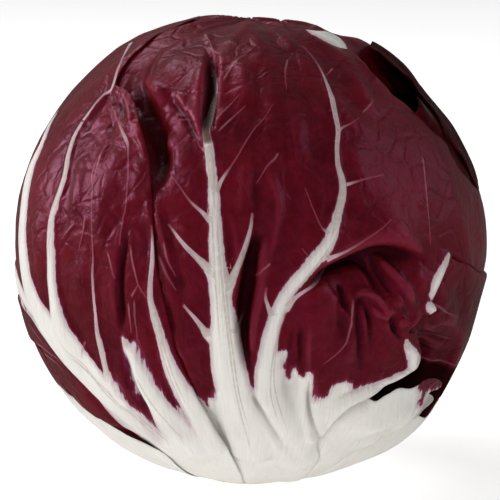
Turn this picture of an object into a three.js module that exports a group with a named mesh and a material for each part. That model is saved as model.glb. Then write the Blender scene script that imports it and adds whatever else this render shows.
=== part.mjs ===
// Radicchio head: a cut core with a spiral of overlapping leaves, standing on its cut stump.
// Millimetres and degrees, +Z up. The origin is the middle of the flat cut under the core, and
// the front of the head faces -Y. Azimuth 0 is the front and grows towards +X (the right side).
import * as THREE from 'three';

// ---- the whole head ----
const HEAD_WIDTH = 120;            // along X
const HEAD_DEPTH = 116;            // along Y
const HEAD_HEIGHT = 118;           // from the cut to the crown
const CENTRE_HEIGHT = 58;          // the rounded outside is cut off flat this far below its middle
const HALF_HEIGHT = HEAD_HEIGHT - CENTRE_HEIGHT;
const FRONT_TILT = 10;             // front-view points are given as seen from this far above level

// ---- the core ----
const CORE_CUT_RADIUS = 13.5;
const CORE_TOP_RADIUS = 6.5;
const CORE_HEIGHT = 38;
const CORE_CHAMFER = 0.8;
const CORE_SIDES = 32;
const CORE_CLEARANCE = 1.2;        // between a leaf's base edge and the core

// ---- the leaves ----
const LEAF_GAP = 0.6;              // least space between one leaf and the next
const BLADE = 1.2;                 // thickness of a leaf at its tip and edges
const RIB_BASE = 3.4;              // thickness of the white base of an outer leaf
const RIB_INNER = 2.0;             // the same on the inner leaves
const BASE_WIDTH = 13;             // half width of a leaf where it leaves the core, degrees
const RIB_END = 75;                // degrees up the midrib where the thick base has thinned out
const CORE_REACH = 0.15;           // share of a facet that a base facet may start inside the core
const EDGE_MARGIN = 1;             // degrees past its outline that a leaf still keeps others under
const DISC_CELLS = 1.3;            // facets around a point that must clear the leaves outside
const FLOOR_CLEARANCE = 0.9;       // the leaves stay this far above the plane of the cut
const FRONT_CELL = 6.8;            // facet size on the head's outside, the two big front leaves
const OUTER_CELL = 9;              // the same on the other outer leaves
const SMALL_CELL = 5;              // the same on the small torn leaf
const INNER_CELL = 13;             // the same on the hidden inner leaves

const DEG = Math.PI / 180;

// ---- directions from the middle of the head ----

// a unit vector from azimuth and elevation
function globe(azimuth, elevation) {
  const a = azimuth * DEG;
  const e = elevation * DEG;
  return new THREE.Vector3(
    Math.cos(e) * Math.sin(a), -Math.cos(e) * Math.cos(a), Math.sin(e));
}

// a unit vector from a point of the front view: mm right of the middle and mm above it
function front(right, up) {
  const half = HEAD_WIDTH / 2;
  const flat = new THREE.Vector2(right / half, up / half);
  if (flat.length() > 0.998) {
    flat.setLength(0.998);
  }
  const near = Math.sqrt(1 - flat.lengthSq());
  const tilt = FRONT_TILT * DEG;
  return new THREE.Vector3(
    flat.x,
    flat.y * Math.sin(tilt) - near * Math.cos(tilt),
    flat.y * Math.cos(tilt) + near * Math.sin(tilt));
}

// radius of the head's smooth outside along a unit vector
function envelope(d) {
  const x = d.x / (HEAD_WIDTH / 2);
  const y = d.y / (HEAD_DEPTH / 2);
  const z = d.z / HALF_HEIGHT;
  let radius = 1 / Math.sqrt(x * x + y * y + z * z);
  if (d.z < 0) {
    radius = Math.min(radius, (CENTRE_HEIGHT - FLOOR_CLEARANCE) / -d.z);
  }
  return radius;
}

function coreRadius(height) {
  const share = THREE.MathUtils.clamp(height / CORE_HEIGHT, 0, 1);
  return THREE.MathUtils.lerp(CORE_CUT_RADIUS, CORE_TOP_RADIUS, share);
}

// A leaf's own directions: `along` is the angle up its midrib from straight down, over the
// crown and on, and `across` is the angle to the right of the midrib's plane.
class LeafFrame {
  constructor(azimuth) {
    const a = azimuth * DEG;
    this.out = new THREE.Vector3(Math.sin(a), -Math.cos(a), 0);
    this.side = new THREE.Vector3(Math.cos(a), Math.sin(a), 0);
  }

  direction(along, across) {
    const t = along * DEG;
    const s = across * DEG;
    return new THREE.Vector3()
      .addScaledVector(this.out, Math.cos(s) * Math.sin(t))
      .addScaledVector(this.side, Math.sin(s))
      .add(new THREE.Vector3(0, 0, -Math.cos(s) * Math.cos(t)));
  }

  // back from a unit vector to [along, across]
  angles(d) {
    let along = Math.atan2(d.dot(this.out), -d.z) / DEG;
    if (along < -60) {
      along += 360;
    }
    const across = Math.asin(THREE.MathUtils.clamp(d.dot(this.side), -1, 1)) / DEG;
    return [along, across];
  }
}

// ---- leaf outlines, as closed loops of [along, across] ----

// a plain leaf: a clasping base that widens to a broad rounded blade
function plainOutline({ reach, width, base = BASE_WIDTH, start = 11 }) {
  const STEPS = 12;
  const right = [];
  for (let i = 0; i <= STEPS; i += 1) {
    const share = i / STEPS;
    const along = start + (reach - start) * Math.sin(share * Math.PI / 2);
    const widen = THREE.MathUtils.smoothstep(share, 0, 0.5);
    const close = Math.sqrt(Math.max(0, 1 - Math.max(0, (share - 0.5) / 0.5) ** 2.6));
    right.push([along, (base + (width - base) * widen) * close]);
  }
  const left = right.slice(0, STEPS).reverse().map(([along, across]) => [along, -across]);
  return [...right, ...left];
}

// an outline through hand-placed directions
function drawnOutline(frame, directions) {
  return directions.map((d) => frame.angles(d));
}

// distance from a point to the outline, positive inside, and the outline's nearest point
function nearestOnOutline(outline, along, across) {
  let best = Infinity;
  let spot = null;
  let inside = false;
  outline.forEach(([x1, y1], i) => {
    const [x2, y2] = outline[(i + 1) % outline.length];
    const dx = x2 - x1;
    const dy = y2 - y1;
    const share = THREE.MathUtils.clamp(
      ((along - x1) * dx + (across - y1) * dy) / (dx * dx + dy * dy || 1), 0, 1);
    const px = x1 + dx * share;
    const py = y1 + dy * share;
    const away = Math.hypot(along - px, across - py);
    if (away < best) {
      best = away;
      spot = [px, py];
    }
    if ((y1 > across) !== (y2 > across) && along < x1 + (dx * (across - y1)) / dy) {
      inside = !inside;
    }
  });
  return { away: inside ? best : -best, spot };
}

// ---- the leaves, from the outermost inwards ----
// azimuth: where the midrib stands; dip(d): depth of a hollow in the leaf along a direction.

// depth of a round-floored hollow: full inside `radius` degrees of its middle, none at the rim
function hollow(middle, radius, rim, depth) {
  return (d) => {
    const away = d.angleTo(middle) / DEG;
    return depth * (1 - THREE.MathUtils.smoothstep(away, radius, radius + rim));
  };
}

// where the leaves lie low between the front leaf and the ones behind it
const TOP_HOLLOW = front(43, 40);

const LEAVES = [
  {
    name: 'leaf_back_left', azimuth: -142, cell: OUTER_CELL, color: 0x6b2036,
    edge: [
      front(-20, -54), front(-24.5, -50.5), front(-29.5, -48), front(-36.5, -45),
      front(-42, -41.5), front(-45.5, -37.5), front(-49, -33.5), front(-54.5, -25.5),
      globe(-100, -18), globe(-104, 0), globe(-106, 20), globe(-112, 38), globe(-126, 50),
      globe(-146, 54), globe(-166, 46), globe(-180, 28), globe(-190, 5), globe(-196, -20),
      globe(-198, -45), globe(-190, -70), globe(-160, -84), globe(-142, -87), globe(-90, -85),
      globe(-50, -76),
    ],
  },
  {
    name: 'leaf_left', azimuth: -78, cell: FRONT_CELL, color: 0x6b2036,
    edge: [
      front(-2.5, -57), front(-5.5, -51), front(-9, -46), front(-13.5, -36.5), front(-17.5, -28),
      front(-20, -21.5), front(-22, -13.5), front(-24, -3.5), front(-24.5, 9.5),
      front(-25, 19.5), front(-27, 30), front(-29, 36.5), front(-30.5, 40), front(-33, 41),
      front(-33.5, 43), front(-30.5, 48), front(-26.5, 51.5), front(-22, 55), globe(-95, 78),
      globe(-118, 72), globe(-138, 55), globe(-143, 25), globe(-138, 0), globe(-122, -12),
      globe(-104, -14), front(-59.5, -10.5), front(-56.5, -16), front(-51.5, -23),
      front(-43.5, -33), front(-39.5, -38), front(-34.5, -44.5), front(-29.5, -48.5),
      front(-24, -52), globe(-52, -68), globe(-66, -78), globe(-80, -86), globe(0, -86),
      globe(-4, -76),
    ],
  },
  {
    name: 'leaf_front', azimuth: 32, cell: FRONT_CELL, color: 0x702238,
    edge: [
      front(17, -54), front(17.5, -50), front(19, -46), front(21.5, -42.5), front(24.5, -39.5),
      front(29.5, -36.5), front(34, -33.5), front(39.5, -31), front(43, -27.5), front(42.5, -23),
      front(40, -21), front(43, -17.5), front(45, -16.5), front(47, -15), front(46, -13),
      front(48.5, -8.5), front(51.5, -2.5), front(54, -3), front(59.5, -5.5), globe(98, -4),
      globe(106, 8), globe(98, 20), front(59, 14.5), front(55, 19), front(50.5, 24.5),
      front(47.5, 29.5), front(43.5, 34), front(39, 38), front(34.5, 42), front(28.5, 47.5),
      front(25.5, 50.5), front(16, 54), front(10, 57), globe(150, 80), globe(-150, 80),
      globe(-105, 72), globe(-84, 62), globe(-74, 47), globe(-58, 30), globe(-46, 12),
      globe(-40, -6), globe(-34, -25), globe(-36, -45), globe(-46, -74), globe(0, -86),
      globe(44, -80),
    ],
  },
  {
    name: 'leaf_right_rib', azimuth: 58, cell: SMALL_CELL, color: 0xd9cfd0,
    edge: [
      front(21.5, -55), front(25.5, -51.5), front(32, -46.5), front(37, -43.5),
      front(40.5, -41.5), front(43, -40), front(46, -37.5), front(44.5, -35.5), front(48.5, -34),
      front(47, -32.5), front(43.5, -33), front(40, -34.5), front(34.5, -35.5), front(31, -37.5),
      front(25.5, -36.5), front(18.5, -41), front(13, -49.5), globe(10, -66), globe(20, -82),
      globe(50, -82),
    ],
    dip: hollow(front(34, -42), 5, 10, -1.8),
  },
  {
    name: 'leaf_back_right', azimuth: 128, cell: OUTER_CELL, color: 0x5c1c30,
    edge: [
      globe(106, -72), globe(106, -45), globe(105, -20), globe(98, 3), front(57.5, 16),
      front(52.5, 25), front(48.5, 31), front(46, 36.5), front(43, 40.5), front(38, 45),
      front(34, 48), front(30, 51), globe(126, 54), globe(150, 62), globe(176, 55),
      globe(192, 30), globe(194, 0), globe(186, -30), globe(172, -55), globe(165, -80),
      globe(120, -86),
    ],
  },
  {
    name: 'leaf_back', azimuth: -158, cell: OUTER_CELL, color: 0x5c1c30,
    outline: { reach: 142, width: 58, base: 15 },
  },
  {
    name: 'leaf_right_base', azimuth: 72, cell: FRONT_CELL, color: 0xcdbfc2,
    edge: [
      globe(6, -80), globe(12, -66), front(18.5, -50), front(22.5, -46), front(26.5, -43.5),
      front(30.5, -41.5), front(35, -40.5), front(39, -41), front(42, -42), front(44.5, -41.5),
      front(48, -38.5), globe(97, -37), globe(110, -40), globe(124, -50), globe(132, -66),
      globe(110, -80), globe(60, -85),
    ],
    dip: hollow(front(38, -41.5), 8, 9, 2.2),
  },
  {
    name: 'leaf_left_low', azimuth: -66, cell: OUTER_CELL, color: 0x5c1c30,
    outline: { reach: 118, width: 44, base: 15 },
  },
  {
    name: 'leaf_right_side', azimuth: 82, cell: OUTER_CELL, color: 0x5c1c30,
    edge: [
      globe(60, -80), globe(52, -60), globe(46, -40), globe(42, -20), globe(40, 0),
      globe(44, 20), globe(56, 36), globe(76, 44), globe(98, 40), globe(114, 24), globe(120, 0),
      globe(120, -25), globe(114, -50), globe(100, -76),
    ],
    dip: hollow(front(43, -35), 8, 7, 11),
  },
  {
    name: 'leaf_back_top', azimuth: 172, cell: OUTER_CELL, color: 0x6b2036,
    outline: { reach: 196, width: 44 },
    dip: hollow(TOP_HOLLOW, 12, 12, 5),
  },
];

// the hidden inner leaves follow the spiral of leaf growth and get smaller towards the heart
const INNER_COUNT = 14;
const SPIRAL_STEP = 137.5;
const INNER_FIRST = 60;            // azimuth of the first inner leaf
const INNER_REACH = [176, 148];    // degrees up the midrib, first and last
const INNER_WIDTH = [62, 74];      // half width in degrees, first and last
const INNER_SPACE = [0.9, 1.6];    // space to the leaf outside it, first and last
const HOLLOW_DEPTH = 8;            // of the inner leaves under the top hollow

for (let i = 0; i < INNER_COUNT; i += 1) {
  const share = i / (INNER_COUNT - 1);
  LEAVES.push({
    name: `leaf_inner_${String(i + 1).padStart(2, '0')}`,
    azimuth: INNER_FIRST + SPIRAL_STEP * i,
    cell: INNER_CELL,
    color: 0x4e1828,
    gap: THREE.MathUtils.lerp(INNER_SPACE[0], INNER_SPACE[1], share),
    rib: RIB_INNER,
    outline: {
      reach: THREE.MathUtils.lerp(INNER_REACH[0], INNER_REACH[1], share),
      width: THREE.MathUtils.lerp(INNER_WIDTH[0], INNER_WIDTH[1], share),
    },
    dip: hollow(TOP_HOLLOW, 12, 16, HOLLOW_DEPTH),
  });
}

const HEART_RADIUS = 15;
const HEART_HEIGHT = 36;
const HEART_SPACE = 3;             // between the heart bud and the leaves around it
const HEART_DISC = 30;             // degrees around a point that must clear the leaves
const HEART_SIDES = 20;
const HEART_RINGS = 12;

// ---- building a leaf ----

const RING_POINTS = 8;

// unit vectors spread over a disc of directions around d
function discAround(d, degrees) {
  const aside = new THREE.Vector3(0, 0, 1);
  if (Math.abs(d.z) > 0.9) {
    aside.set(1, 0, 0);
  }
  const u = new THREE.Vector3().crossVectors(d, aside).normalize();
  const v = new THREE.Vector3().crossVectors(d, u);
  const spots = [d];
  for (const share of [0.5, 1]) {
    const size = Math.tan(degrees * share * DEG);
    for (let i = 0; i < RING_POINTS; i += 1) {
      const turn = (i / RING_POINTS) * 2 * Math.PI;
      spots.push(d.clone()
        .addScaledVector(u, size * Math.cos(turn))
        .addScaledVector(v, size * Math.sin(turn))
        .normalize());
    }
  }
  return spots;
}

class Leaf {
  constructor(spec) {
    Object.assign(this, { gap: LEAF_GAP, rib: RIB_BASE, dip: () => 0 }, spec);
    this.frame = new LeafFrame(spec.azimuth);
    this.loop = spec.edge ? drawnOutline(this.frame, spec.edge) : plainOutline(spec.outline);
    this.step = spec.cell / (HEAD_WIDTH / 2) / DEG;
    const pad = 2 * this.step;
    this.low = [0, 1].map((axis) => Math.min(...this.loop.map((p) => p[axis])) - pad);
    const high = [0, 1].map((axis) => Math.max(...this.loop.map((p) => p[axis])) + pad);
    this.count = [0, 1].map((axis) => Math.ceil((high[axis] - this.low[axis]) / this.step) + 1);
  }

  index(i, j) {
    return i * this.count[1] + j;
  }

  place(i, j) {
    return [this.low[0] + i * this.step, this.low[1] + j * this.step];
  }

  direction([along, across]) {
    return this.frame.direction(along, THREE.MathUtils.clamp(across, -89, 89));
  }

  // outer radius at [along, across], between the grid's values
  outerRadius([along, across]) {
    const a = THREE.MathUtils.clamp((along - this.low[0]) / this.step, 0, this.count[0] - 1.001);
    const b = THREE.MathUtils.clamp((across - this.low[1]) / this.step, 0, this.count[1] - 1.001);
    const i = Math.floor(a);
    const j = Math.floor(b);
    const near = THREE.MathUtils.lerp(
      this.field[this.index(i, j)], this.field[this.index(i, j + 1)], b - j);
    const far = THREE.MathUtils.lerp(
      this.field[this.index(i + 1, j)], this.field[this.index(i + 1, j + 1)], b - j);
    return THREE.MathUtils.lerp(near, far, a - i);
  }

  thickness([along, across]) {
    const up = 1 - THREE.MathUtils.smoothstep(along, 15, RIB_END);
    const off = 1 - THREE.MathUtils.smoothstep(Math.abs(across), 8, 40);
    return BLADE + (this.rib - BLADE) * up * off;
  }

  innerRadius(place) {
    return this.outerRadius(place) - this.thickness(place);
  }

  // the radius that the leaves already placed leave free in direction d
  static room(d, placed) {
    let room = Infinity;
    for (const leaf of placed) {
      const place = leaf.frame.angles(d);
      const { away } = nearestOnOutline(leaf.loop, ...place);
      if (away > -EDGE_MARGIN) {
        room = Math.min(room, leaf.innerRadius(place));
      }
    }
    return room;
  }

  // lays the leaf under the ones already placed: the widest smooth surface that clears them
  drape(placed) {
    const [rows, columns] = this.count;
    const free = new Array(rows * columns);
    for (let i = 0; i < rows; i += 1) {
      for (let j = 0; j < columns; j += 1) {
        const d = this.direction(this.place(i, j));
        const own = envelope(d) - this.dip(d);
        const room = Math.min(...discAround(d, DISC_CELLS * this.step).map(
          (spot) => Leaf.room(spot, placed)));
        free[this.index(i, j)] = Math.min(own, room - this.gap);
      }
    }
    this.field = free.map((_, at) => {
      const i = Math.floor(at / columns);
      const j = at % columns;
      let sum = 0;
      let weight = 0;
      for (let di = -1; di <= 1; di += 1) {
        for (let dj = -1; dj <= 1; dj += 1) {
          const inRange = i + di >= 0 && i + di < rows && j + dj >= 0 && j + dj < columns;
          if (inRange) {
            sum += free[this.index(i + di, j + dj)];
            weight += 1;
          }
        }
      }
      return Math.min(free[at], sum / weight);
    });
  }

  // degrees between a place and the core's surface, positive outside the core
  coreAway(place) {
    const d = this.direction(place);
    const radius = this.innerRadius(place);
    const polar = Math.acos(-d.z);
    const height = CENTRE_HEIGHT + radius * d.z;
    const need = (coreRadius(height) + CORE_CLEARANCE) / radius;
    return polar / DEG - (need >= 1 ? 90 : Math.asin(need) / DEG);
  }

  // moves a place straight away from the core's axis until it just clears the core
  offCore(place) {
    let moved = place;
    for (let pass = 0; pass < 4; pass += 1) {
      const d = this.direction(moved);
      const polar = Math.acos(-d.z) - this.coreAway(moved) * DEG;
      const flat = new THREE.Vector2(d.x, d.y).setLength(Math.sin(polar));
      moved = this.frame.angles(new THREE.Vector3(flat.x, flat.y, -Math.cos(polar)));
    }
    return moved;
  }

  // whether a cell with this middle belongs to the leaf; its corners are snapped to the border
  inside(place) {
    return nearestOnOutline(this.loop, ...place).away > 0
      && this.coreAway(place) > -CORE_REACH * this.step;
  }

  // the grid cells that make up the leaf: those inside the outline, in one piece
  cells() {
    const [rows, columns] = [this.count[0] - 1, this.count[1] - 1];
    const kept = new Map();
    for (let i = 0; i < rows; i += 1) {
      for (let j = 0; j < columns; j += 1) {
        const [along, across] = this.place(i, j);
        if (this.inside([along + this.step / 2, across + this.step / 2])) {
          kept.set(`${i},${j}`, [i, j]);
        }
      }
    }
    const has = (i, j) => kept.has(`${i},${j}`);
    let loose = true;
    while (loose) {
      loose = false;
      for (const [key, [i, j]] of kept) {
        const up = has(i + 1, j);
        const down = has(i - 1, j);
        const right = has(i, j + 1);
        const left = has(i, j - 1);
        const corner = (!up && !right && has(i + 1, j + 1)) || (!up && !left && has(i + 1, j - 1));
        const cornerLow = (!down && !right && has(i - 1, j + 1))
          || (!down && !left && has(i - 1, j - 1));
        const thin = (!up && !down) || (!left && !right);
        if (corner || cornerLow || thin) {
          kept.delete(key);
          loose = true;
        }
      }
    }
    return largestPatch(kept);
  }

  geometry() {
    const cells = this.cells();
    const uses = new Map();
    for (const [i, j] of cells) {
      for (const [di, dj] of [[0, 0], [1, 0], [1, 1], [0, 1]]) {
        const at = this.index(i + di, j + dj);
        uses.set(at, (uses.get(at) ?? 0) + 1);
      }
    }
    const spots = new Map();
    const positions = [];
    for (const [at, count] of uses) {
      let place = this.place(Math.floor(at / this.count[1]), at % this.count[1]);
      if (count < 4) {
        place = this.snapped(place);
      }
      const d = this.direction(place);
      const outer = this.outerRadius(place);
      spots.set(at, positions.length / 3);
      for (const radius of [outer, outer - this.thickness(place)]) {
        const p = d.clone().multiplyScalar(radius);
        positions.push(p.x, p.y, p.z + CENTRE_HEIGHT);
      }
    }
    const faces = [];
    const edges = new Map();
    for (const [i, j] of cells) {
      const ring = [[0, 0], [1, 0], [1, 1], [0, 1]].map(
        ([di, dj]) => spots.get(this.index(i + di, j + dj)));
      faces.push(...splitQuad(ring, positions));
      ring.forEach((from, k) => {
        const to = ring[(k + 1) % 4];
        if (!edges.delete(`${to},${from}`)) {
          edges.set(`${from},${to}`, [from, to]);
        }
      });
    }
    const index = [];
    for (const [a, b, c] of faces) {
      index.push(a, c, b);
      index.push(a + 1, b + 1, c + 1);
    }
    for (const [from, to] of edges.values()) {
      index.push(from, to, to + 1, from, to + 1, from + 1);
    }
    return solid(positions, index);
  }

  // a grid corner on the leaf's border, moved onto the outline or onto the core's clearance
  snapped(place) {
    const edge = nearestOnOutline(this.loop, ...place);
    const core = this.coreAway(place);
    let moved = Math.abs(core) < Math.abs(edge.away) ? this.offCore(place) : edge.spot;
    if (this.coreAway(moved) < 0) {
      moved = this.offCore(moved);
    }
    return moved;
  }
}

// the biggest group of cells joined side to side
function largestPatch(kept) {
  const left = new Map(kept);
  let best = [];
  while (left.size > 0) {
    const [firstKey, first] = left.entries().next().value;
    left.delete(firstKey);
    const patch = [first];
    for (let k = 0; k < patch.length; k += 1) {
      const [i, j] = patch[k];
      for (const [ni, nj] of [[i + 1, j], [i - 1, j], [i, j + 1], [i, j - 1]]) {
        const key = `${ni},${nj}`;
        if (left.has(key)) {
          patch.push(left.get(key));
          left.delete(key);
        }
      }
    }
    if (patch.length > best.length) {
      best = patch;
    }
  }
  return best;
}

// two triangles from a quad, cut along the diagonal that leaves no sliver
function splitQuad([a, b, c, d], positions) {
  const spot = (at) => new THREE.Vector3().fromArray(positions, at * 3);
  const area = (p, q, r) => new THREE.Triangle(spot(p), spot(q), spot(r)).getArea();
  const first = Math.min(area(a, b, c), area(a, c, d));
  const second = Math.min(area(a, b, d), area(b, c, d));
  return first >= second ? [[a, b, c], [a, c, d]] : [[a, b, d], [b, c, d]];
}

function solid(positions, index) {
  const geometry = new THREE.BufferGeometry();
  geometry.setAttribute('position', new THREE.Float32BufferAttribute(positions, 3));
  geometry.setIndex(index);
  geometry.computeVertexNormals();
  return geometry;
}

// ---- the core and the heart ----

function coreGeometry() {
  const profile = [
    new THREE.Vector2(0, 0),
    new THREE.Vector2(CORE_CUT_RADIUS - CORE_CHAMFER, 0),
    new THREE.Vector2(CORE_CUT_RADIUS, CORE_CHAMFER),
    new THREE.Vector2(coreRadius(CORE_HEIGHT * 0.5), CORE_HEIGHT * 0.5),
    new THREE.Vector2(CORE_TOP_RADIUS, CORE_HEIGHT - 2),
    new THREE.Vector2(CORE_TOP_RADIUS * 0.6, CORE_HEIGHT),
    new THREE.Vector2(0, CORE_HEIGHT),
  ];
  return new THREE.LatheGeometry(profile, CORE_SIDES).rotateX(Math.PI / 2);
}

// an egg as wide as the leaves around it leave room for
function heartGeometry(placed) {
  const geometry = new THREE.SphereGeometry(1, HEART_SIDES, HEART_RINGS).rotateX(Math.PI / 2);
  const position = geometry.getAttribute('position');
  for (let i = 0; i < position.count; i += 1) {
    const d = new THREE.Vector3().fromBufferAttribute(position, i).normalize();
    const egg = 1 / Math.hypot(
      Math.hypot(d.x, d.y) / HEART_RADIUS, d.z / (HEART_HEIGHT / 2));
    const room = Math.min(...discAround(d, HEART_DISC).map((spot) => Leaf.room(spot, placed)));
    const p = d.multiplyScalar(Math.min(egg, room - HEART_SPACE));
    position.setXYZ(i, p.x, p.y, p.z + CENTRE_HEIGHT);
  }
  geometry.computeVertexNormals();
  return geometry;
}

// ---- the head ----

const head = new THREE.Group();

function addPiece(name, geometry, color, roughness) {
  const material = new THREE.MeshStandardMaterial({ color, roughness, metalness: 0 });
  const mesh = new THREE.Mesh(geometry, material);
  mesh.name = name;
  head.add(mesh);
}

addPiece('core_stump', coreGeometry(), 0xe4dcc8, 0.6);

const placed = [];
for (const spec of LEAVES) {
  const leaf = new Leaf(spec);
  leaf.drape(placed);
  addPiece(leaf.name, leaf.geometry(), leaf.color, 0.4);
  placed.push(leaf);
}

addPiece('heart_bud', heartGeometry(placed), 0xc9a9ae, 0.5);

export default head;
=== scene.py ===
"""A round Chioggia radicchio head: wine-red leaves with branching white ribs, round a core.

Each leaf is a thin closed shell. Its outside is a height field round the middle of the head: the
head's smooth outside, less the room that the leaves outside it take, plus the leaf's own relief
of ribs, creases, folds and blisters. Lengths are millimetres until a mesh is made, in metres.
"""

import functools
import math

import bpy
import numpy as np
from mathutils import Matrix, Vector


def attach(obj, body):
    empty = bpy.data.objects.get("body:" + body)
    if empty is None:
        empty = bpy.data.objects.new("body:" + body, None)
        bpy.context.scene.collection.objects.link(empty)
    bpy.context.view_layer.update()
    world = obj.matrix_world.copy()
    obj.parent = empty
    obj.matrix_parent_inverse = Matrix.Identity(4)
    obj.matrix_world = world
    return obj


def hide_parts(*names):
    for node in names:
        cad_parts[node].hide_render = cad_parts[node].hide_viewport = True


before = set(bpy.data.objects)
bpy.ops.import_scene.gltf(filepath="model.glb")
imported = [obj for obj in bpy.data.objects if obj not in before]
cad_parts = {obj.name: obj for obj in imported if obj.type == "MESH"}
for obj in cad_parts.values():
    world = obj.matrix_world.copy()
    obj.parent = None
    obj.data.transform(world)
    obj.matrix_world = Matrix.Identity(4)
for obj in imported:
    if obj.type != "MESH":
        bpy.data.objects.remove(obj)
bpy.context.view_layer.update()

# ---- the whole head, as in the CAD ----
CENTRE_HEIGHT = 58.0                      # middle of the rounded outside above the cut
HALF_SIZE = np.array([60.0, 58.0, 60.0])  # half width, depth and height of the rounded outside
FLOOR_CLEARANCE = 0.9                     # the leaves stay this far above the plane of the cut
CORE_CUT_RADIUS = 13.5
CORE_TOP_RADIUS = 6.5
CORE_HEIGHT = 38.0
CORE_CLEARANCE = 0.35
SURFACE_RADIUS = 59.0                     # mean radius, for lengths measured along the outside
MM_PER_DEGREE = SURFACE_RADIUS * math.pi / 180

# ---- the camera, and the photograph's frame ----
IMAGE_SIZE = 500
SENSOR = 36.0
LENS = 170.0
CAMERA_DISTANCE = 600.0                   # from the middle of the head
CAMERA_ELEVATION = math.radians(10)
PIXELS_PER_TANGENT = LENS / SENSOR * IMAGE_SIZE
MM_PER_PIXEL = CAMERA_DISTANCE / PIXELS_PER_TANGENT

VIEW_RIGHT = np.array([1.0, 0.0, 0.0])
VIEW_UP = np.array([0.0, math.sin(CAMERA_ELEVATION), math.cos(CAMERA_ELEVATION)])
VIEW_BACK = np.array([0.0, -math.cos(CAMERA_ELEVATION), math.sin(CAMERA_ELEVATION)])
EYE = VIEW_BACK * CAMERA_DISTANCE         # from the middle of the head


def make_camera():
    data = bpy.data.cameras.new("camera")
    data.lens = LENS
    data.sensor_width = SENSOR
    data.clip_start = 0.01
    data.clip_end = 50
    camera = bpy.data.objects.new("camera", data)
    camera.location = [EYE[0] / 1000, EYE[1] / 1000, (EYE[2] + CENTRE_HEIGHT) / 1000]
    camera.rotation_euler = (math.pi / 2 - CAMERA_ELEVATION, 0, 0)
    bpy.context.scene.collection.objects.link(camera)
    bpy.context.scene.camera = camera


make_camera()

# ---- directions from the middle of the head ----


def unit(v):
    return v / np.linalg.norm(v, axis=-1, keepdims=True)


def globe(azimuth, elevation):
    """unit vector; azimuth 0 is the front and grows to the right"""
    a, e = math.radians(azimuth), math.radians(elevation)
    return np.array([math.cos(e) * math.sin(a), -math.cos(e) * math.cos(a), math.sin(e)])


def pixel(x, y):
    """unit vector to where a pixel of the photograph's frame falls on the head's smooth outside"""
    half = IMAGE_SIZE / 2
    ray = (VIEW_RIGHT * (x + 0.5 - half) + VIEW_UP * (half - y - 0.5)) / PIXELS_PER_TANGENT
    ray = unit(ray - VIEW_BACK)
    eye, step = EYE / HALF_SIZE, ray / HALF_SIZE
    a, b, c = step @ step, eye @ step, eye @ eye - 1
    reach = (-b - math.sqrt(max(b * b - a * c, 0.0))) / a
    return unit(EYE + ray * reach)


def points_of(text):
    """rows of numbers, written 'x,y x,y ...' or 'x,y,width x,y,width ...'"""
    return np.array([tuple(map(float, item.split(","))) for item in text.split()])


def trace(text):
    """unit vectors through a line of pixels"""
    return [pixel(*row) for row in points_of(text)]


def around(text):
    """unit vectors through a line of 'azimuth,elevation ...'"""
    return [globe(*row) for row in points_of(text)]


def to_pixels(d):
    """where the head's smooth outside along unit vectors shows in the photograph's frame"""
    spots = d / np.linalg.norm(d / HALF_SIZE, axis=-1, keepdims=True)
    near = CAMERA_DISTANCE - spots @ VIEW_BACK
    half = IMAGE_SIZE / 2
    return np.stack([half - 0.5 + spots @ VIEW_RIGHT / near * PIXELS_PER_TANGENT,
                     half - 0.5 - spots @ VIEW_UP / near * PIXELS_PER_TANGENT], axis=-1)


# where the real outline stands out from the smooth one: degrees anticlockwise round the view
# from the right, half width in degrees, mm
OUTLINE_BULGES = [(42, 7, -1.3), (60, 10, 0.8), (68, 5, -1.7), (84, 14, -1.3), (127, 14, 0.7),
                  (252, 24, -1.2), (311, 13, 2.2), (346, 9, -1.3)]
OUTLINE_FADE = 0.45            # how far a bulge reaches towards the view and away from it
CUT_ROUNDING = 2.5             # mm over which the outside rounds into the plane of the cut


def polar_angle(d):
    """degrees from straight down"""
    return np.degrees(np.arccos(np.clip(-d[..., 2], -1, 1)))


def elevation_angle(d):
    """degrees above the level of the middle"""
    return np.degrees(np.arcsin(np.clip(d[..., 2], -1, 1)))


def envelope(d):
    """radius of the head's outside along unit vectors"""
    radius = 1 / np.linalg.norm(d / HALF_SIZE, axis=-1)
    turn = np.degrees(np.arctan2(d @ VIEW_UP, d @ VIEW_RIGHT))
    fade = np.exp(-((d @ VIEW_BACK) / OUTLINE_FADE) ** 2)
    for middle, width, height in OUTLINE_BULGES:
        away = (turn - middle + 180) % 360 - 180
        radius = radius + height * fade * np.exp(-(away / width) ** 2)
    down = np.maximum(-d[..., 2], 1e-6)
    return soft_min(radius, (CENTRE_HEIGHT - FLOOR_CLEARANCE) / down, CUT_ROUNDING)


# ---- noise and blends ----


class Noise:
    """smooth random field between -1 and 1, the same on every run"""

    SIZE = 32
    SHIFT = 1000.0                                              # keeps its cells positive
    TILT = np.array([[2, -1, 2], [2, 2, -1], [-1, 2, 2]]) / 3   # keeps its grid off the axes

    def __init__(self, seed):
        self.table = np.random.default_rng(seed).random((self.SIZE,) * 3) * 2 - 1

    def __call__(self, points, size):
        q = points @ self.TILT / size + self.SHIFT
        cell = np.floor(q).astype(int)
        f = q - cell
        f = f * f * (3 - 2 * f)
        total = 0.0
        for corner in np.ndindex(2, 2, 2):
            weight = np.prod(np.where(corner, f, 1 - f), axis=-1)
            at = (cell + corner) % self.SIZE
            total = total + weight * self.table[at[..., 0], at[..., 1], at[..., 2]]
        return total


def smoothstep(x, low, high):
    t = np.clip((x - low) / (high - low), 0, 1)
    return t * t * (3 - 2 * t)


def soft_max(a, b, blend):
    t = np.clip(0.5 + 0.5 * (a - b) / blend, 0, 1)
    return b + (a - b) * t + blend * t * (1 - t)


def soft_min(a, b, blend):
    return -soft_max(-a, -b, blend)


# ---- lines drawn on the head ----


SPLINE_STEPS = 4
WIDTH_PROBE = 2.0              # pixels aside of a line where a seen width becomes a true one


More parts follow.
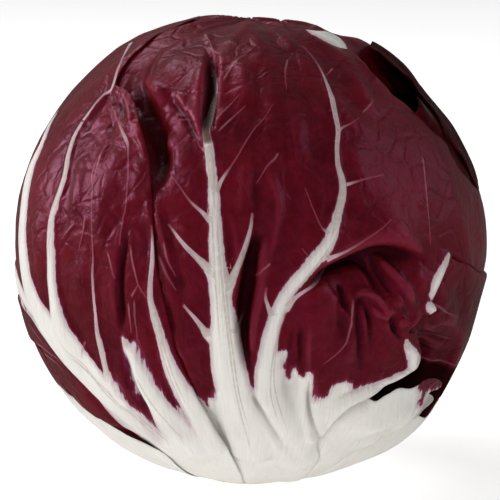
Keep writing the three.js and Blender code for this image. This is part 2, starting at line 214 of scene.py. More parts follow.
def spline(points, closed=False):
    """Catmull-Rom points through rows of numbers"""
    p = np.asarray(points, float)
    if closed:
        p = np.vstack([p[-1], p, p[0], p[1]])
    else:
        p = np.vstack([2 * p[0] - p[1], p, 2 * p[-1] - p[-2]])
    out = []
    for i in range(1, len(p) - 2):
        for s in np.arange(SPLINE_STEPS) / SPLINE_STEPS:
            out.append(0.5 * (2 * p[i] + (p[i + 1] - p[i - 1]) * s
                              + (2 * p[i - 1] - 5 * p[i] + 4 * p[i + 1] - p[i + 2]) * s ** 2
                              + (3 * p[i] - p[i - 1] - 3 * p[i + 1] + p[i + 2]) * s ** 3))
    if not closed:
        out.append(p[-2])
    return np.array(out)


def on_segment(spots, a, b):
    """the nearest points to spots between a and b, and their shares of the way"""
    run = b - a
    t = np.clip((spots - a) @ run / (run @ run + 1e-12), 0, 1)
    return a + t[:, None] * run, t


class Line:
    """a smooth line on the head, with a half width in mm at each point"""

    def __init__(self, points, half_widths=None):
        if half_widths is None:
            half_widths = [0.0] * len(points)
        rows = spline(np.column_stack([np.array(points), half_widths]))
        self.points = unit(rows[:, :3]) * SURFACE_RADIUS
        self.half = np.maximum(rows[:, 3], 0.0)

    @classmethod
    def drawn(cls, text):
        """a line written in pixels, 'x,y ...' or 'x,y,width ...' with its full width"""
        rows = points_of(text)
        points = [pixel(*row[:2]) for row in rows]
        if rows.shape[1] == 2:
            return cls(points)
        run = unit(np.gradient(rows[:, :2], axis=0) + 1e-9)
        aside = np.column_stack([-run[:, 1], run[:, 0]]) * WIDTH_PROBE
        halves = []
        for (x, y, width), (dx, dy) in zip(rows, aside):
            wide = np.linalg.norm(pixel(x + dx, y + dy) - pixel(x - dx, y - dy)) * SURFACE_RADIUS
            halves.append(0.5 * width * wide / (2 * WIDTH_PROBE))
        return cls(points, halves)

    def measure(self, directions, reach):
        """for the directions within reach: their indices, distance in mm, side (1 is left of the
        line's run, seen from outside), half width there and share of the way along"""
        middle = self.points.mean(axis=0)
        limit = np.linalg.norm(self.points - middle, axis=1).max() + reach + self.half.max()
        spots = directions * SURFACE_RADIUS
        near = np.nonzero(((spots - middle) ** 2).sum(axis=1) < limit ** 2)[0]
        spots = spots[near]
        best = np.full(len(near), 1e9)
        side = np.ones(len(near))
        half = np.zeros(len(near))
        share = np.zeros(len(near))
        last = len(self.points) - 1
        for i in range(last):
            a, b = self.points[i], self.points[i + 1]
            foot, t = on_segment(spots, a, b)
            gap = spots - foot
            far = (gap * gap).sum(axis=1)
            closer = far < best
            best = np.where(closer, far, best)
            side = np.where(closer, np.sign(gap @ np.cross(a, b - a) + 1e-9), side)
            half = np.where(closer, self.half[i] + t * (self.half[i + 1] - self.half[i]), half)
            share = np.where(closer, (i + t) / last, share)
        away = np.sqrt(best)
        keep = away < reach + half
        return near[keep], away[keep], side[keep], half[keep], share[keep]


def loop_distance(loop, spots):
    """distance from 2-D spots to a closed loop, positive inside, and the nearest points on it"""
    best = np.full(len(spots), 1e18)
    nearest = np.zeros_like(spots)
    inside = np.zeros(len(spots), bool)
    for a, b in zip(loop, np.roll(loop, -1, axis=0)):
        run = b - a
        foot, _ = on_segment(spots, a, b)
        far = ((spots - foot) ** 2).sum(axis=1)
        closer = far < best
        best = np.where(closer, far, best)
        nearest = np.where(closer[:, None], foot, nearest)
        if a[1] != b[1]:
            crosses = (a[1] > spots[:, 1]) != (b[1] > spots[:, 1])
            where = a[0] + (spots[:, 1] - a[1]) * run[0] / run[1]
            inside ^= crosses & (spots[:, 0] < where)
    return np.where(inside, 1, -1) * np.sqrt(best), nearest


# ---- the leaves ----

LEAF_GAP = 0.08                # least space between one leaf and the next
EDGE_MARGIN = 0.5              # degrees past its outline that a leaf still keeps others under
BLADE_THICKNESS = 0.8
BASE_THICKNESS = 2.4
BASE_ALONG = (15, 75)          # degrees up the midrib over which the thick base thins out
BASE_ACROSS = (8, 40)          # the same to either side of the midrib
EDGE_THICKNESS = 0.16
EDGE_TAPER = (-0.2, 6.0)       # mm in from the edge over which a leaf gets its full thickness
FOOT_TAPER = 10.0              # mm where that ends near the foot, where the leaves grow together
FOOT_POLAR = (38, 62)          # degrees from straight down over which the foot ends
FOOT_CAVITY = 0.7              # share by which the painted shade in the hollows of the foot is weaker
RIB_FOOT = (15, 38)            # degrees from straight down over which the ribs rise
OVERLAP_SLOPE = 0.45           # how steeply a leaf rises beside the edge of one that covers it
OVERLAP_REACH = 7.0
OVERLAP_SMOOTH = 0.5           # mm over which the step under such an edge is rounded
OWN_BLEND = 0.3                # mm over which a leaf's own surface goes over into that rise
FREE_BLEND = 0.25              # and into the room that the leaves outside it leave
CLEAR = 4.0                    # mm outside the envelope that stands for "nothing above"
FAR = 9.0                      # mm that stand for "no marking near"
LINE_REACH = 0.75              # mm beside a thin vein where it is still looked for
LAYERS = 3
CAVITY_CELL = 1.5              # mm; leaves on coarser grids get no painted shade in hollows and no painted highlight on crests
CAVITY_SIZES = [(1.2, 0.7), (3.0, 0.35)]   # mm, share
FIRST_ALONG = -60              # degrees along; what lies below it is counted past the crown
CORE_MARGIN = 0.15             # share of a grid cell by which a leaf may start inside the core
OUTLINE_START = 11             # degrees from straight down where a plain leaf begins
OUTLINE_STEPS = 40
CLASP = 13                     # half width in degrees of a plain leaf's base


def plain_outline(reach, width, clasp):
    """closed loop of (along, across) degrees: a clasping base that widens to a broad blade"""
    share = np.linspace(0, 1, OUTLINE_STEPS + 1)
    along = OUTLINE_START + (reach - OUTLINE_START) * np.sin(share * math.pi / 2)
    widen = smoothstep(share, 0, 0.5)
    close = np.sqrt(np.maximum(0, 1 - np.maximum(0, (share - 0.5) / 0.5) ** 2.6))
    half = (clasp + (width - clasp) * widen) * close
    right = np.column_stack([along, half])
    left = np.column_stack([along, -half])[-2::-1]
    return np.vstack([right, left])


def hollow(middle, radius, rim, depth):
    """dip(d): full depth inside radius degrees of the middle, none past the rim"""
    def dip(d):
        away = np.degrees(np.arccos(np.clip(d @ middle, -1, 1)))
        return depth * (1 - smoothstep(away, radius, radius + rim))
    return dip


def least(values):
    return np.minimum(np.minimum(values[0], values[1]), values[2])


def mean(values):
    return (values[0] + values[1] + values[2]) / 3


def spread(field, reach, pick):
    """a field combined with its neighbours up to reach cells away, by pick(three values)"""
    for _ in range(reach):
        for axis in (0, 1):
            pad = [(1, 1) if k == axis else (0, 0) for k in (0, 1)]
            wide = np.pad(field, pad, mode="edge")
            n = field.shape[axis]
            field = pick([np.take(wide, range(k, k + n), axis=axis) for k in (0, 1, 2)])
    return field


def core_radius(height):
    share = np.clip(height / CORE_HEIGHT, 0, 1)
    return CORE_CUT_RADIUS + (CORE_TOP_RADIUS - CORE_CUT_RADIUS) * share


class Leaf:
    """a leaf, on a grid of its own angles: `along` runs up the midrib from straight down, over
    the crown and on, and `across` goes to the right of the midrib's plane; its outline is a loop
    of such angles or of unit vectors"""

    def __init__(self, name, azimuth, cell, loop, dip=None, base=BASE_THICKNESS, gap=LEAF_GAP):
        a = math.radians(azimuth)
        self.name, self.azimuth, self.gap = name, azimuth, gap
        self.out = np.array([math.sin(a), -math.cos(a), 0.0])
        self.side = np.array([math.cos(a), math.sin(a), 0.0])
        if loop.shape[1] == 3:
            loop = self.angles(loop)
        self.loop = loop
        self.step = cell
        pad = 3 * cell
        self.low = loop.min(axis=0) - pad
        shape = np.ceil((loop.max(axis=0) + pad - self.low) / cell).astype(int) + 1
        self.shape = tuple(shape)
        rows, columns = np.meshgrid(np.arange(shape[0]), np.arange(shape[1]), indexing="ij")
        self.place = self.low + np.stack([rows, columns], axis=-1) * cell
        self.d = self.direction(self.place)
        self.flat = self.d.reshape(-1, 3)
        away, self.edge_spot = loop_distance(loop, self.place.reshape(-1, 2))
        self.away = away.reshape(self.shape) * MM_PER_DEGREE
        self.own = envelope(self.d) - (dip(self.d) if dip else 0)
        along, across = self.place[..., 0], self.place[..., 1]
        self.thick = BLADE_THICKNESS + (base - BLADE_THICKNESS) \
            * (1 - smoothstep(along, *BASE_ALONG)) * (1 - smoothstep(np.abs(across), *BASE_ACROSS))
        self.fold = np.zeros(self.shape)      # relief that both faces follow
        self.lift = np.zeros(self.shape)      # relief of the outer face alone
        self.rib = np.full(self.shape, -FAR)    # mm inside the white ribs
        self.white = np.full(self.shape, -FAR)  # mm inside the white foot
        # thin veins, shared out so that close ones are never in the same layer: mm to the left
        # of the nearest, and its half width
        self.lines = [np.full(self.shape, FAR) for _ in range(LAYERS)]
        self.halves = [np.full(self.shape, -1.0) for _ in range(LAYERS)]
        self.shade = np.zeros(self.shape)       # 1 where the white is painted dull: a torn end's brown, and painted shade on the rib beside the top groove
        self.painted_shade = np.zeros(self.shape)         # 1 where the leaf is painted nearly black, as painted deep shade
        self.cavity = np.zeros(self.shape)      # mm below the surface round it, for painted shade in hollows and a painted highlight on crests

    def direction(self, place):
        """unit vectors from (along, across)"""
        t = np.radians(place[..., 0])[..., None]
        s = np.radians(np.clip(place[..., 1], -89, 89))[..., None]
        return np.cos(s) * (np.sin(t) * self.out - np.cos(t) * np.array([0, 0, 1.0])) \
            + np.sin(s) * self.side

    def angles(self, d):
        """(along, across) from unit vectors"""
        along = np.degrees(np.arctan2(d @ self.out, -d[..., 2]))
        along = np.where(along < FIRST_ALONG, along + 360, along)
        across = np.degrees(np.arcsin(np.clip(d @ self.side, -1, 1)))
        return np.stack([along, across], axis=-1)

    def sample(self, field, place):
        """the field between its grid's values"""
        q = (place - self.low) / self.step
        q = np.clip(q, 0, np.array(self.shape) - 1.001)
        i, j = np.moveaxis(np.floor(q).astype(int), -1, 0)
        a, b = q[..., 0] - i, q[..., 1] - j
        near = field[i, j] * (1 - b) + field[i, j + 1] * b
        far = field[i + 1, j] * (1 - b) + field[i + 1, j + 1] * b
        return near * (1 - a) + far * a

    def turn(self, d):
        """degrees round the head's upright axis from the midrib"""
        return np.degrees(np.arctan2(d @ self.side, d @ self.out))

    def room(self, d):
        """the radius that this leaf leaves free along d, and how far inside its outline d is"""
        place = self.angles(d)
        return self.sample(self.inner, place), self.sample(self.away, place)

    def drape(self, placed):
        """lays the leaf under the ones already placed"""
        free = self.own + CLEAR
        for leaf in placed:
            room, away = leaf.room(self.d)
            under = away > -EDGE_MARGIN
            free = np.where(under, np.minimum(free, room - self.gap), free)
        cell = self.step * MM_PER_DEGREE
        reach = max(1, round(OVERLAP_SMOOTH / cell))
        rise = OVERLAP_SLOPE * cell
        slow = spread(free, round(OVERLAP_REACH / cell),
                      lambda v: np.minimum(v[1], np.minimum(v[0], v[2]) + rise))
        free = spread(spread(free, reach, least), reach, mean)
        polar = polar_angle(self.d)
        self.lift = self.lift * smoothstep(polar, *RIB_FOOT)
        surface = soft_min(self.own, slow, OWN_BLEND) + self.fold
        self.outer = soft_min(surface + self.lift, free, FREE_BLEND)
        foot = 1 - smoothstep(polar, *FOOT_POLAR)
        start, full = EDGE_TAPER
        taper = smoothstep(self.away, start, full + (FOOT_TAPER - full) * foot)
        self.thick = EDGE_THICKNESS + (self.thick - EDGE_THICKNESS) * taper
        self.inner = soft_min(surface, free, FREE_BLEND) - self.thick
        # for the painted shade and highlight: how far each place lies below the surface round it,
        # less at the foot
        if cell < CAVITY_CELL:
            self.cavity = sum(share * (self.smoothed(self.outer, size) - self.outer)
                              for size, share in CAVITY_SIZES) * (1 - FOOT_CAVITY * foot)

    def smoothed(self, field, size):
        """the field blurred over a size in mm"""
        cell = self.step * MM_PER_DEGREE
        return spread(field, max(1, round(1.5 * (size / cell) ** 2)), mean)

    def core_away(self, place):
        """degrees between a place and the core, positive outside it"""
        d = self.direction(place)
        radius = self.sample(self.inner, place)
        polar = np.arccos(np.clip(-d[..., 2], -1, 1))
        height = CENTRE_HEIGHT + radius * d[..., 2]
        need = (core_radius(height) + CORE_CLEARANCE) / radius
        return np.degrees(polar - np.arcsin(np.clip(need, 0, 1)))

    def off_core(self, place):
        """places moved straight away from the core's axis until they just clear it"""
        for _ in range(4):
            d = self.direction(place)
            polar = np.arccos(np.clip(-d[..., 2], -1, 1)) - np.radians(self.core_away(place))
            flat = unit(d[..., :2]) * np.sin(polar)[..., None]
            place = self.angles(np.concatenate([flat, -np.cos(polar)[..., None]], axis=-1))
        return place

    def cells(self):
        """which grid cells make up the leaf: those inside the outline, in one piece"""
        middle = self.place[:-1, :-1] + self.step / 2
        kept = self.sample(self.away, middle) > 0
        kept &= self.core_away(middle) > -CORE_MARGIN * self.step
        kept[[0, -1], :] = False
        kept[:, [0, -1]] = False
        while True:
            up, down = np.roll(kept, -1, 0), np.roll(kept, 1, 0)
            right, left = np.roll(kept, -1, 1), np.roll(kept, 1, 1)
            loose = (~up & ~down) | (~left & ~right)
            for a, other, shift in ((up, right, (-1, -1)), (up, left, (-1, 1)),
                                    (down, right, (1, -1)), (down, left, (1, 1))):
                loose |= ~a & ~other & np.roll(kept, shift, (0, 1))
            loose &= kept
            if not loose.any():
                break
            kept &= ~loose
        return self.largest(kept)

    @staticmethod
    def largest(kept):
        """the biggest group of cells joined side to side"""
        label = np.where(kept, np.arange(kept.size).reshape(kept.shape) + 1, 0)
        while True:
            grown = label
            for shift, axis in ((1, 0), (-1, 0), (1, 1), (-1, 1)):
                for _ in range(8):
                    grown = np.where(kept, np.maximum(grown, np.roll(grown, shift, axis)), 0)
            if (grown == label).all():
                break
            label = grown
        names, counts = np.unique(label[kept], return_counts=True)
        return label == names[counts.argmax()]

    def mesh(self):
        """points in metres, faces, and the fields that the material reads at each point"""
        kept = self.cells()
        rows, columns = np.nonzero(kept)
        width = self.shape[1]
        at = rows * width + columns
        quads = np.stack([at, at + width, at + width + 1, at + 1], axis=1)
        used, flat = np.unique(quads, return_inverse=True)
        quads = flat.reshape(-1, 4)
        uses = np.bincount(flat.ravel(), minlength=len(used))
        place = self.place.reshape(-1, 2)[used]
        border = uses < 4
        place[border] = self.snapped(place[border], self.edge_spot[used][border])
        d = self.direction(place)
        outer, inner = self.sample(self.outer, place), self.sample(self.inner, place)
        points = np.vstack([d * outer[:, None], d * inner[:, None]])
        points[:, 2] += CENTRE_HEIGHT
        count = len(used)
        sides = np.concatenate([quads[:, [k, (k + 1) % 4]] for k in range(4)])
        code = sides[:, 0] * count + sides[:, 1]
        back = sides[:, 1] * count + sides[:, 0]
        rim = sides[~np.isin(code, back)]
        walls = np.column_stack([rim[:, 0], rim[:, 1], rim[:, 1] + count, rim[:, 0] + count])
        faces = np.vstack([quads[:, ::-1], quads + count, walls])
        fields = {name: self.sample(getattr(self, name), place)
                  for name in ("rib", "white", "shade", "painted_shade", "cavity")}
        for k in range(LAYERS):
            line, half = self.sample(self.lines[k], place), self.sample(self.halves[k], place)
            fields[f"line_{k}"], fields[f"half_{k}"] = line, half
            fields[f"near_{k}"] = (np.abs(line) < half + LINE_REACH) * 1.0
        fields["turn"], fields["polar"] = self.turn(d), polar_angle(d)
        return points / 1000, faces, {name: np.tile(field, 2) for name, field in fields.items()}

    def snapped(self, place, edge_spot):
        """border corners, moved onto the outline or onto the core's clearance"""
        core = self.core_away(place)
        edge = np.linalg.norm(edge_spot - place, axis=1)
        off = self.off_core(place)
        moved = np.where((np.abs(core) < edge)[:, None], off, edge_spot)
        inside = self.core_away(moved) < 0
        return np.where(inside[:, None], self.off_core(moved), moved)


# ---- relief and markings of a leaf ----

RIB_REACH = 6.0
THIN = 0.9                     # half width in mm below which a rib is drawn as a line
THICK = 1.6                    # and above which it isn't one any more
LINE_SPACE = 1.6               # mm; closer lines go into different layers
LINE_END = -0.6                # half width past the end of a line: none
RIB_RISE = (0.12, 0.5, 3.2)    # mm, mm per mm of half width, and the half width where that ends
RIB_SKIRT = (1.25, 0.7)        # the foot of a rib's side: times the half width, plus mm
RIB_BLEND = 0.7                # mm over which ribs that meet flow together, in their outline
RISE_BLEND = 0.15              # and in their height
BRANCH_RISE = 0.8              # how high a grown branch stands, next to its midrib
CREASE_ENDS = 0.3              # share of a crease's length over which each end fades
RIDGE_ENDS = 0.4
MIDRIB_HALF = 6.0
MIDRIB_START = 8               # degrees from straight down
MIDRIB_SHARE = 0.9             # share of the leaf's length that the midrib reaches
MIDRIB_SWAY = 3                # degrees that it may swing to either side
BRANCH_START, BRANCH_SPAN = 0.04, 0.78   # share of the midrib below the branches, and with them
BRANCH_SHIFT = (0.0, 0.6)      # of the space between two branches
BRANCH_LENGTH = (0.3, 0.45)    # how far a branch runs up, share of the leaf's length
BRANCH_WIDTH = (0.45, 0.8)     # how far it runs out, share of the leaf's half width
BRANCH_BEND = (0.8, 1.2)       # power of its run outwards
BRANCH_HALF = (2.6, 0.3, 0.15) # half widths in mm: of the lowest, of the last, and at the tip
TWIGS = (0.35, 0.62, 0.85)     # where twigs leave a branch
TWIG_LENGTH = (7, 13)          # degrees up the leaf
TWIG_ASIDE = (2, 9)            # and back to the midrib's side
TWIG_BOW = (0, 2)
VEIN_HALF = 0.26
VEIN_RISE = 0.2
VEIN_REACH = 3.0
STREAK_WIDTH = 0.62            # streaks along a leaf: units of noise per degree round the head
STREAK_SHIFT = 7.0             # units between the streaks of one leaf and the next
WAVES = (0.7, 19)              # height and size of a blade's broad waves, mm
LONG_WAVES = (0.9, 6.0, 0.18)  # waves up the leaf: height in mm, size, noise units per degree
LONG_BEND = (2.5, 11)          # how far, and over how many mm, they wander
BLISTERS = [(0.12, 5.2), (0.04, 2.4)]    # height and size, mm
RIB_CALM = 0.75                # share of the waves that the ribs take away
STILL = 0.35                   # share of them that nothing takes away
CALM_POLAR = (15, 55)          # degrees from straight down over which they rise
FLAMES = (4.5, 3.2, 0.15)      # the white foot's ragged border: the same three
FLAME_WAVES = (2.5, 11)        # its broad waves, mm
RIB_CLIMB = 7.0                # mm that the white runs higher on a rib
FOOT_ELEVATION = -38           # degrees; the white foot of a leaf ends near there
HIDDEN_FOOT = -40              # the same where the photograph doesn't show it
FOOT_SLOPE = 0.15              # degrees lower for each degree off the midrib
FOOT_TURN = 60                 # degrees off the midrib where that ends
DIM_FADE = (-0.45, 0.0)        # how far a painted shade reaches round the head's outline


def add_line(leaf, at, away, side, half, share):
    """remembers a thin vein, in the layer with the fewest others close to it"""
    half = np.where((share <= 0) | (share >= 1), LINE_END, half)
    close = at[away < LINE_SPACE]
    crowd = [(np.abs(line.reshape(-1)[close]) < LINE_SPACE).sum() for line in leaf.lines]
    layer = int(np.argmin(crowd))
    line, line_half = leaf.lines[layer].reshape(-1), leaf.halves[layer].reshape(-1)
    closer = half - away > line_half[at] - np.abs(line[at])
    line[at[closer]] = (side * away)[closer]
    line_half[at[closer]] = half[closer]


def add_rib(leaf, line, rise=1.0):
    """a raised white rib along a line"""
    at, away, side, half, share = line.measure(leaf.flat, RIB_REACH)
    rib, lift = leaf.rib.reshape(-1), leaf.lift.reshape(-1)
    thin = 1 - smoothstep(half, 0.5 * THIN, THIN)
    rib[at] = soft_max(rib[at], half - away - 0.6 * thin, RIB_BLEND * (1 - 0.8 * thin))
    drawn = half * (1 - smoothstep(half, THIN, THICK))
    if (drawn > 0.05).any():
        add_line(leaf, at, away, side, np.where(half < THIN, half, drawn), share)
    lowest, slope, widest = RIB_RISE
    height = rise * (lowest + slope * np.minimum(half, widest))
    skirt = away / (half * RIB_SKIRT[0] + RIB_SKIRT[1])
    bump = height * np.maximum(0, 1 - skirt ** 2) ** 1.6
    lift[at] = soft_max(lift[at], bump, RISE_BLEND)


def add_ribs(leaf, texts, rises=None):
    for name, text in texts.items():
        add_rib(leaf, Line.drawn(text), (rises or {}).get(name, 1.0))


def add_vein(leaf, line):
    """a thin pale vein, only just raised"""
    at, away, side, _, share = line.measure(leaf.flat, VEIN_REACH)
    lift = leaf.lift.reshape(-1)
    fade = smoothstep(share, -0.01, 0.1) * (1 - 0.5 * smoothstep(share, 0.3, 1))
    fade = fade * (1 - smoothstep(share, 0.9, 1.0))
    add_line(leaf, at, away, side, VEIN_HALF * fade, share)
    lift[at] = np.maximum(lift[at], VEIN_RISE * fade * np.exp(-(away / 0.7) ** 2))


def add_veins(leaf, texts):
    for text in texts:
        add_vein(leaf, Line.drawn(text))


def ends_fade(share, ends):
    return smoothstep(share, 0, ends) * (1 - smoothstep(share, 1 - ends, 1))


def add_crease(leaf, line, depth, width, reach, left=0.0, right=0.0, ends=CREASE_ENDS):
    """a groove as wide as the line plus soft sides, with the leaf raised on its left or right"""
    at, away, side, half, share = line.measure(leaf.flat, 2.2 * max(reach, width))
    fold = leaf.fold.reshape(-1)
    past = np.maximum(0, away - half)
    lean = np.tanh(side * away / (0.6 * width))
    rise = 0.5 * (1 + lean) * left + 0.5 * (1 - lean) * right
    groove = depth * np.exp(-(past / width) ** 2)
    fold[at] += ends_fade(share, ends) * (rise * np.exp(-(past / reach) ** 2) - groove)


def add_ridge(leaf, line, height, width):
    """a raised fold as wide as the line plus soft sides"""
    add_crease(leaf, line, -height, width, reach=width, ends=RIDGE_ENDS)


def add_bump(leaf, x, y, height, radius):
    """a blister at a pixel, with its radius in mm"""
    away = np.linalg.norm(leaf.d - pixel(x, y), axis=-1) * SURFACE_RADIUS
    leaf.fold += height * np.exp(-(away / radius) ** 2)


def draw_folds(leaf, creases, ridges, bumps=(), strength=1.0):
    for text, *sizes in creases.values():
        add_crease(leaf, Line.drawn(text), *sizes)
    for text, height, width in ridges.values():
        add_ridge(leaf, Line.drawn(text), height * strength, width)
    for bump in bumps:
        add_bump(leaf, *bump)


def uneven(sizes, seed, places):
    """noise with its height and size"""
    height, size = sizes
    return height * Noise(seed)(places, size)


def streaks(leaf, density, seed):
    """places of the grid for noise in streaks up the leaf, shorter ones for a larger density"""
    turn = leaf.turn(leaf.d)
    return np.stack([turn * STREAK_WIDTH, polar_angle(leaf.d) * density,
                     np.full_like(turn, seed * STREAK_SHIFT)], axis=-1)


def add_wrinkles(leaf, seed, height=1.0):
    """soft waves and blisters of the blade, long along the leaf and stiller on the ribs"""
    points = leaf.d * SURFACE_RADIUS
    rise, size, density = LONG_WAVES
    flow = streaks(leaf, density, seed)
    for k in (0, 1):
        flow[..., k] += uneven(LONG_BEND, seed + 4 + k, points)
    calm = 1 - RIB_CALM * smoothstep(leaf.rib, -1.5, 0.5)
    calm = calm * smoothstep(polar_angle(leaf.d), *CALM_POLAR)
    waves = uneven(WAVES, seed, points) + uneven((rise, size), seed + 1, flow)
    blisters = sum(uneven(sizes, seed + 2 + k, points) for k, sizes in enumerate(BLISTERS))
    leaf.fold += height * (waves * (STILL + (1 - STILL) * calm) + blisters * calm)


def grow_ribs(leaf, seed, reach, width, pairs):
    """a midrib and its branches where the photograph doesn't reach"""
    draw = np.random.default_rng(seed)
    sway = draw.uniform(-MIDRIB_SWAY, MIDRIB_SWAY)
    lowest, last, tip_half = BRANCH_HALF

    def along(share):
        return MIDRIB_START + (reach * MIDRIB_SHARE - MIDRIB_START) * share

    share = np.linspace(0, 1, 9)
    halves = MIDRIB_HALF * (1 - share) ** 1.5 + 0.35
    places = np.column_stack([along(share), sway * np.sin(share * math.pi)])
    add_rib(leaf, Line(leaf.direction(places), halves))
    for k in range(pairs):
        for hand in (-1, 1):
            start = BRANCH_START + BRANCH_SPAN * (k + draw.uniform(*BRANCH_SHIFT)) / pairs
            run = np.linspace(0, 1, 7)
            rise = reach * draw.uniform(*BRANCH_LENGTH) * (1 - 0.35 * start)
            out = hand * width * draw.uniform(*BRANCH_WIDTH) * (1 - 0.3 * start)
            side = sway * math.sin(start * math.pi)
            bend = run ** draw.uniform(*BRANCH_BEND)
            branch = np.column_stack([along(start) + rise * run, side + out * bend])
            thick = (lowest * (1 - start) ** 1.5 + last) * (1 - run) ** 1.2 + tip_half
            add_rib(leaf, Line(leaf.direction(branch), thick), BRANCH_RISE)
            for twig in TWIGS:
                root = np.array([np.interp(twig, run, branch[:, 0]),
                                 np.interp(twig, run, branch[:, 1])])
                tip = root + np.array([draw.uniform(*TWIG_LENGTH),
                                       -hand * draw.uniform(*TWIG_ASIDE)])
                bow = 0.5 * (root + tip) + np.array([-1, -hand * draw.uniform(*TWIG_BOW)])
                add_vein(leaf, Line(leaf.direction(np.array([tip, bow, root]))))


def add_base(leaf, elevation=FOOT_ELEVATION, slope=FOOT_SLOPE):
    """the white foot of a leaf: millimetres below a line round the head, lower off the midrib"""
    off = np.minimum(np.abs(leaf.turn(leaf.d)), FOOT_TURN)
    foot = (elevation - slope * off - elevation_angle(leaf.d)) * MM_PER_DEGREE
    rise, size, density = FLAMES
    flames = uneven((rise, size), 8, streaks(leaf, density, 0))
    foot = foot + uneven(FLAME_WAVES, 7, leaf.d * SURFACE_RADIUS) + flames
    foot = foot + RIB_CLIMB * smoothstep(leaf.rib, -5, 0.5)
    leaf.white = np.maximum(leaf.white, foot)


def loop_depth(leaf, text):
    """mm inside a loop of pixels, at each place of the leaf's flattened grid"""
    return loop_distance(points_of(text), to_pixels(leaf.flat))[0] * MM_PER_PIXEL


def facing_depth(leaf, text):
    """the same on the leaf's grid, and none on the side that faces away from the view"""
    facing = leaf.flat @ VIEW_BACK > -0.1
    return np.where(facing, loop_depth(leaf, text), -FAR).reshape(leaf.shape)


def shade_area(leaf, text, amount, soft):
    """shade inside a loop of pixels, fading out where the leaf turns from the view"""
    edge = smoothstep(loop_depth(leaf, text), -soft, soft)
    return amount * edge * smoothstep(leaf.flat @ VIEW_BACK, *DIM_FADE)


# adds painted shade to a leaf
def darken(leaf, shade):
    leaf.painted_shade = np.maximum(leaf.painted_shade, shade.reshape(leaf.shape))


def add_deep_shade(leaf, amount):
    """the deep shade behind the front leaf's upper edge, lighter along the folds' crests"""
    shade = shade_area(leaf, TOP_SHADE, amount, 3.0)
    for text in SHADE_EDGES:
        at, off, _, _, share = Line.drawn(text).measure(leaf.flat, 1.2)
        shade[at] *= 1 - 0.55 * ends_fade(share, 0.3) * (1 - smoothstep(off, 0.1, 0.8))
    darken(leaf, shade)


# painted shade along lines, fading at their ends and to the sides
def add_dark_lines(leaf, lines):
    painted_shade = leaf.painted_shade.reshape(-1)
    for text, reach, amount in lines:
        at, away, _, half, share = Line.drawn(text).measure(leaf.flat, reach)
        dark = amount * ends_fade(share, 0.25) * (1 - smoothstep(away - half, 0, reach))
        painted_shade[at] = np.maximum(painted_shade[at], dark)


def add_white_area(leaf, text):
    """the white inside a loop of pixels, and a plain foot where the view doesn't reach"""
    foot = (HIDDEN_FOOT - elevation_angle(leaf.flat)) * MM_PER_DEGREE
    white = np.where(leaf.flat @ VIEW_BACK > 0.05, loop_depth(leaf, text), foot)
    leaf.white = np.maximum(leaf.white, np.clip(white, -FAR, FAR).reshape(leaf.shape))


def sink_between_ribs(leaf, depth):
    """lowers the white foot where no rib runs, but not next to the cut"""
    depth = depth * smoothstep(polar_angle(leaf.d), 18, 55) * smoothstep(leaf.away, 2, 9)
    leaf.fold -= depth * smoothstep(leaf.white, -0.5, 2.0) * smoothstep(-leaf.rib, 0, 2.5)


# ---- the two big front leaves, drawn in the photograph's frame ----

# Ribs are 'x,y,width ...' in pixels, from the tip of the rib to its foot. Other lines are
# 'x,y ...', and with widths where they are wide.
LEFT_RIBS = {
    "C": "57,108,0.4 51,121,1.4 43,143,3.4 33,168,5.6 27,198,7 25,220,8 24,240,8.6 25,260,10 "
         "28,280,11 34,300,13 44,320,16 56,338,20 68,352,24 82,368,25 98,386,23 116,404,20 "
         "134,420,17 156,437,16 182,455,18",
    "C_low": "13,266,1.2 16,280,2.4 21,292,4 30,306,6",
    "D": "83,120,2 74,136,3 68,155,3.6 65,175,4 59,198,5 54,220,6 52,240,6.5 52,260,7 52,280,8 "
         "55,300,10 58,316,12 63,332,16 72,348,20",
    "D_top": "132,45,0.6 124,60,1 118,72,1.4 113,86,2 103,95,1.4 92,108,1.6 83,120,2",
    "E": "110,141,1 98,158,1.2 93,173,1.5 94,190,1.4 93,213,1.4 93,251,1.6 92,274,2.2 93,296,2.6 "
         "95,315,3 97,332,4 100,342,5.4 103,355,5 107,370,6 112,385,9 122,402,13",
    "F": "152,225,1.5 152,240,3 152,260,4.6 150,280,5 150,299,6 154,315,7.5 160,334,9 165,350,11 "
         "171,366,14 179,383,16 190,402,18 203,422,20 217,444,20",
    "G": "125,337,3 127,343,8 132,353,12 137,363,14 145,380,17 155,396,19 166,412,22 "
         "180,430,24 196,448,24",
    "notch": "110,103,1 118,122,2 127,140,3.2 129,150,2 129,175,1.2 126,205,1.2 122,222,1.4 "
             "119,245,0.8",
}
LOW_RIBS = {"C": 0.6, "C_low": 0.2}     # ribs that stand out less than the rest
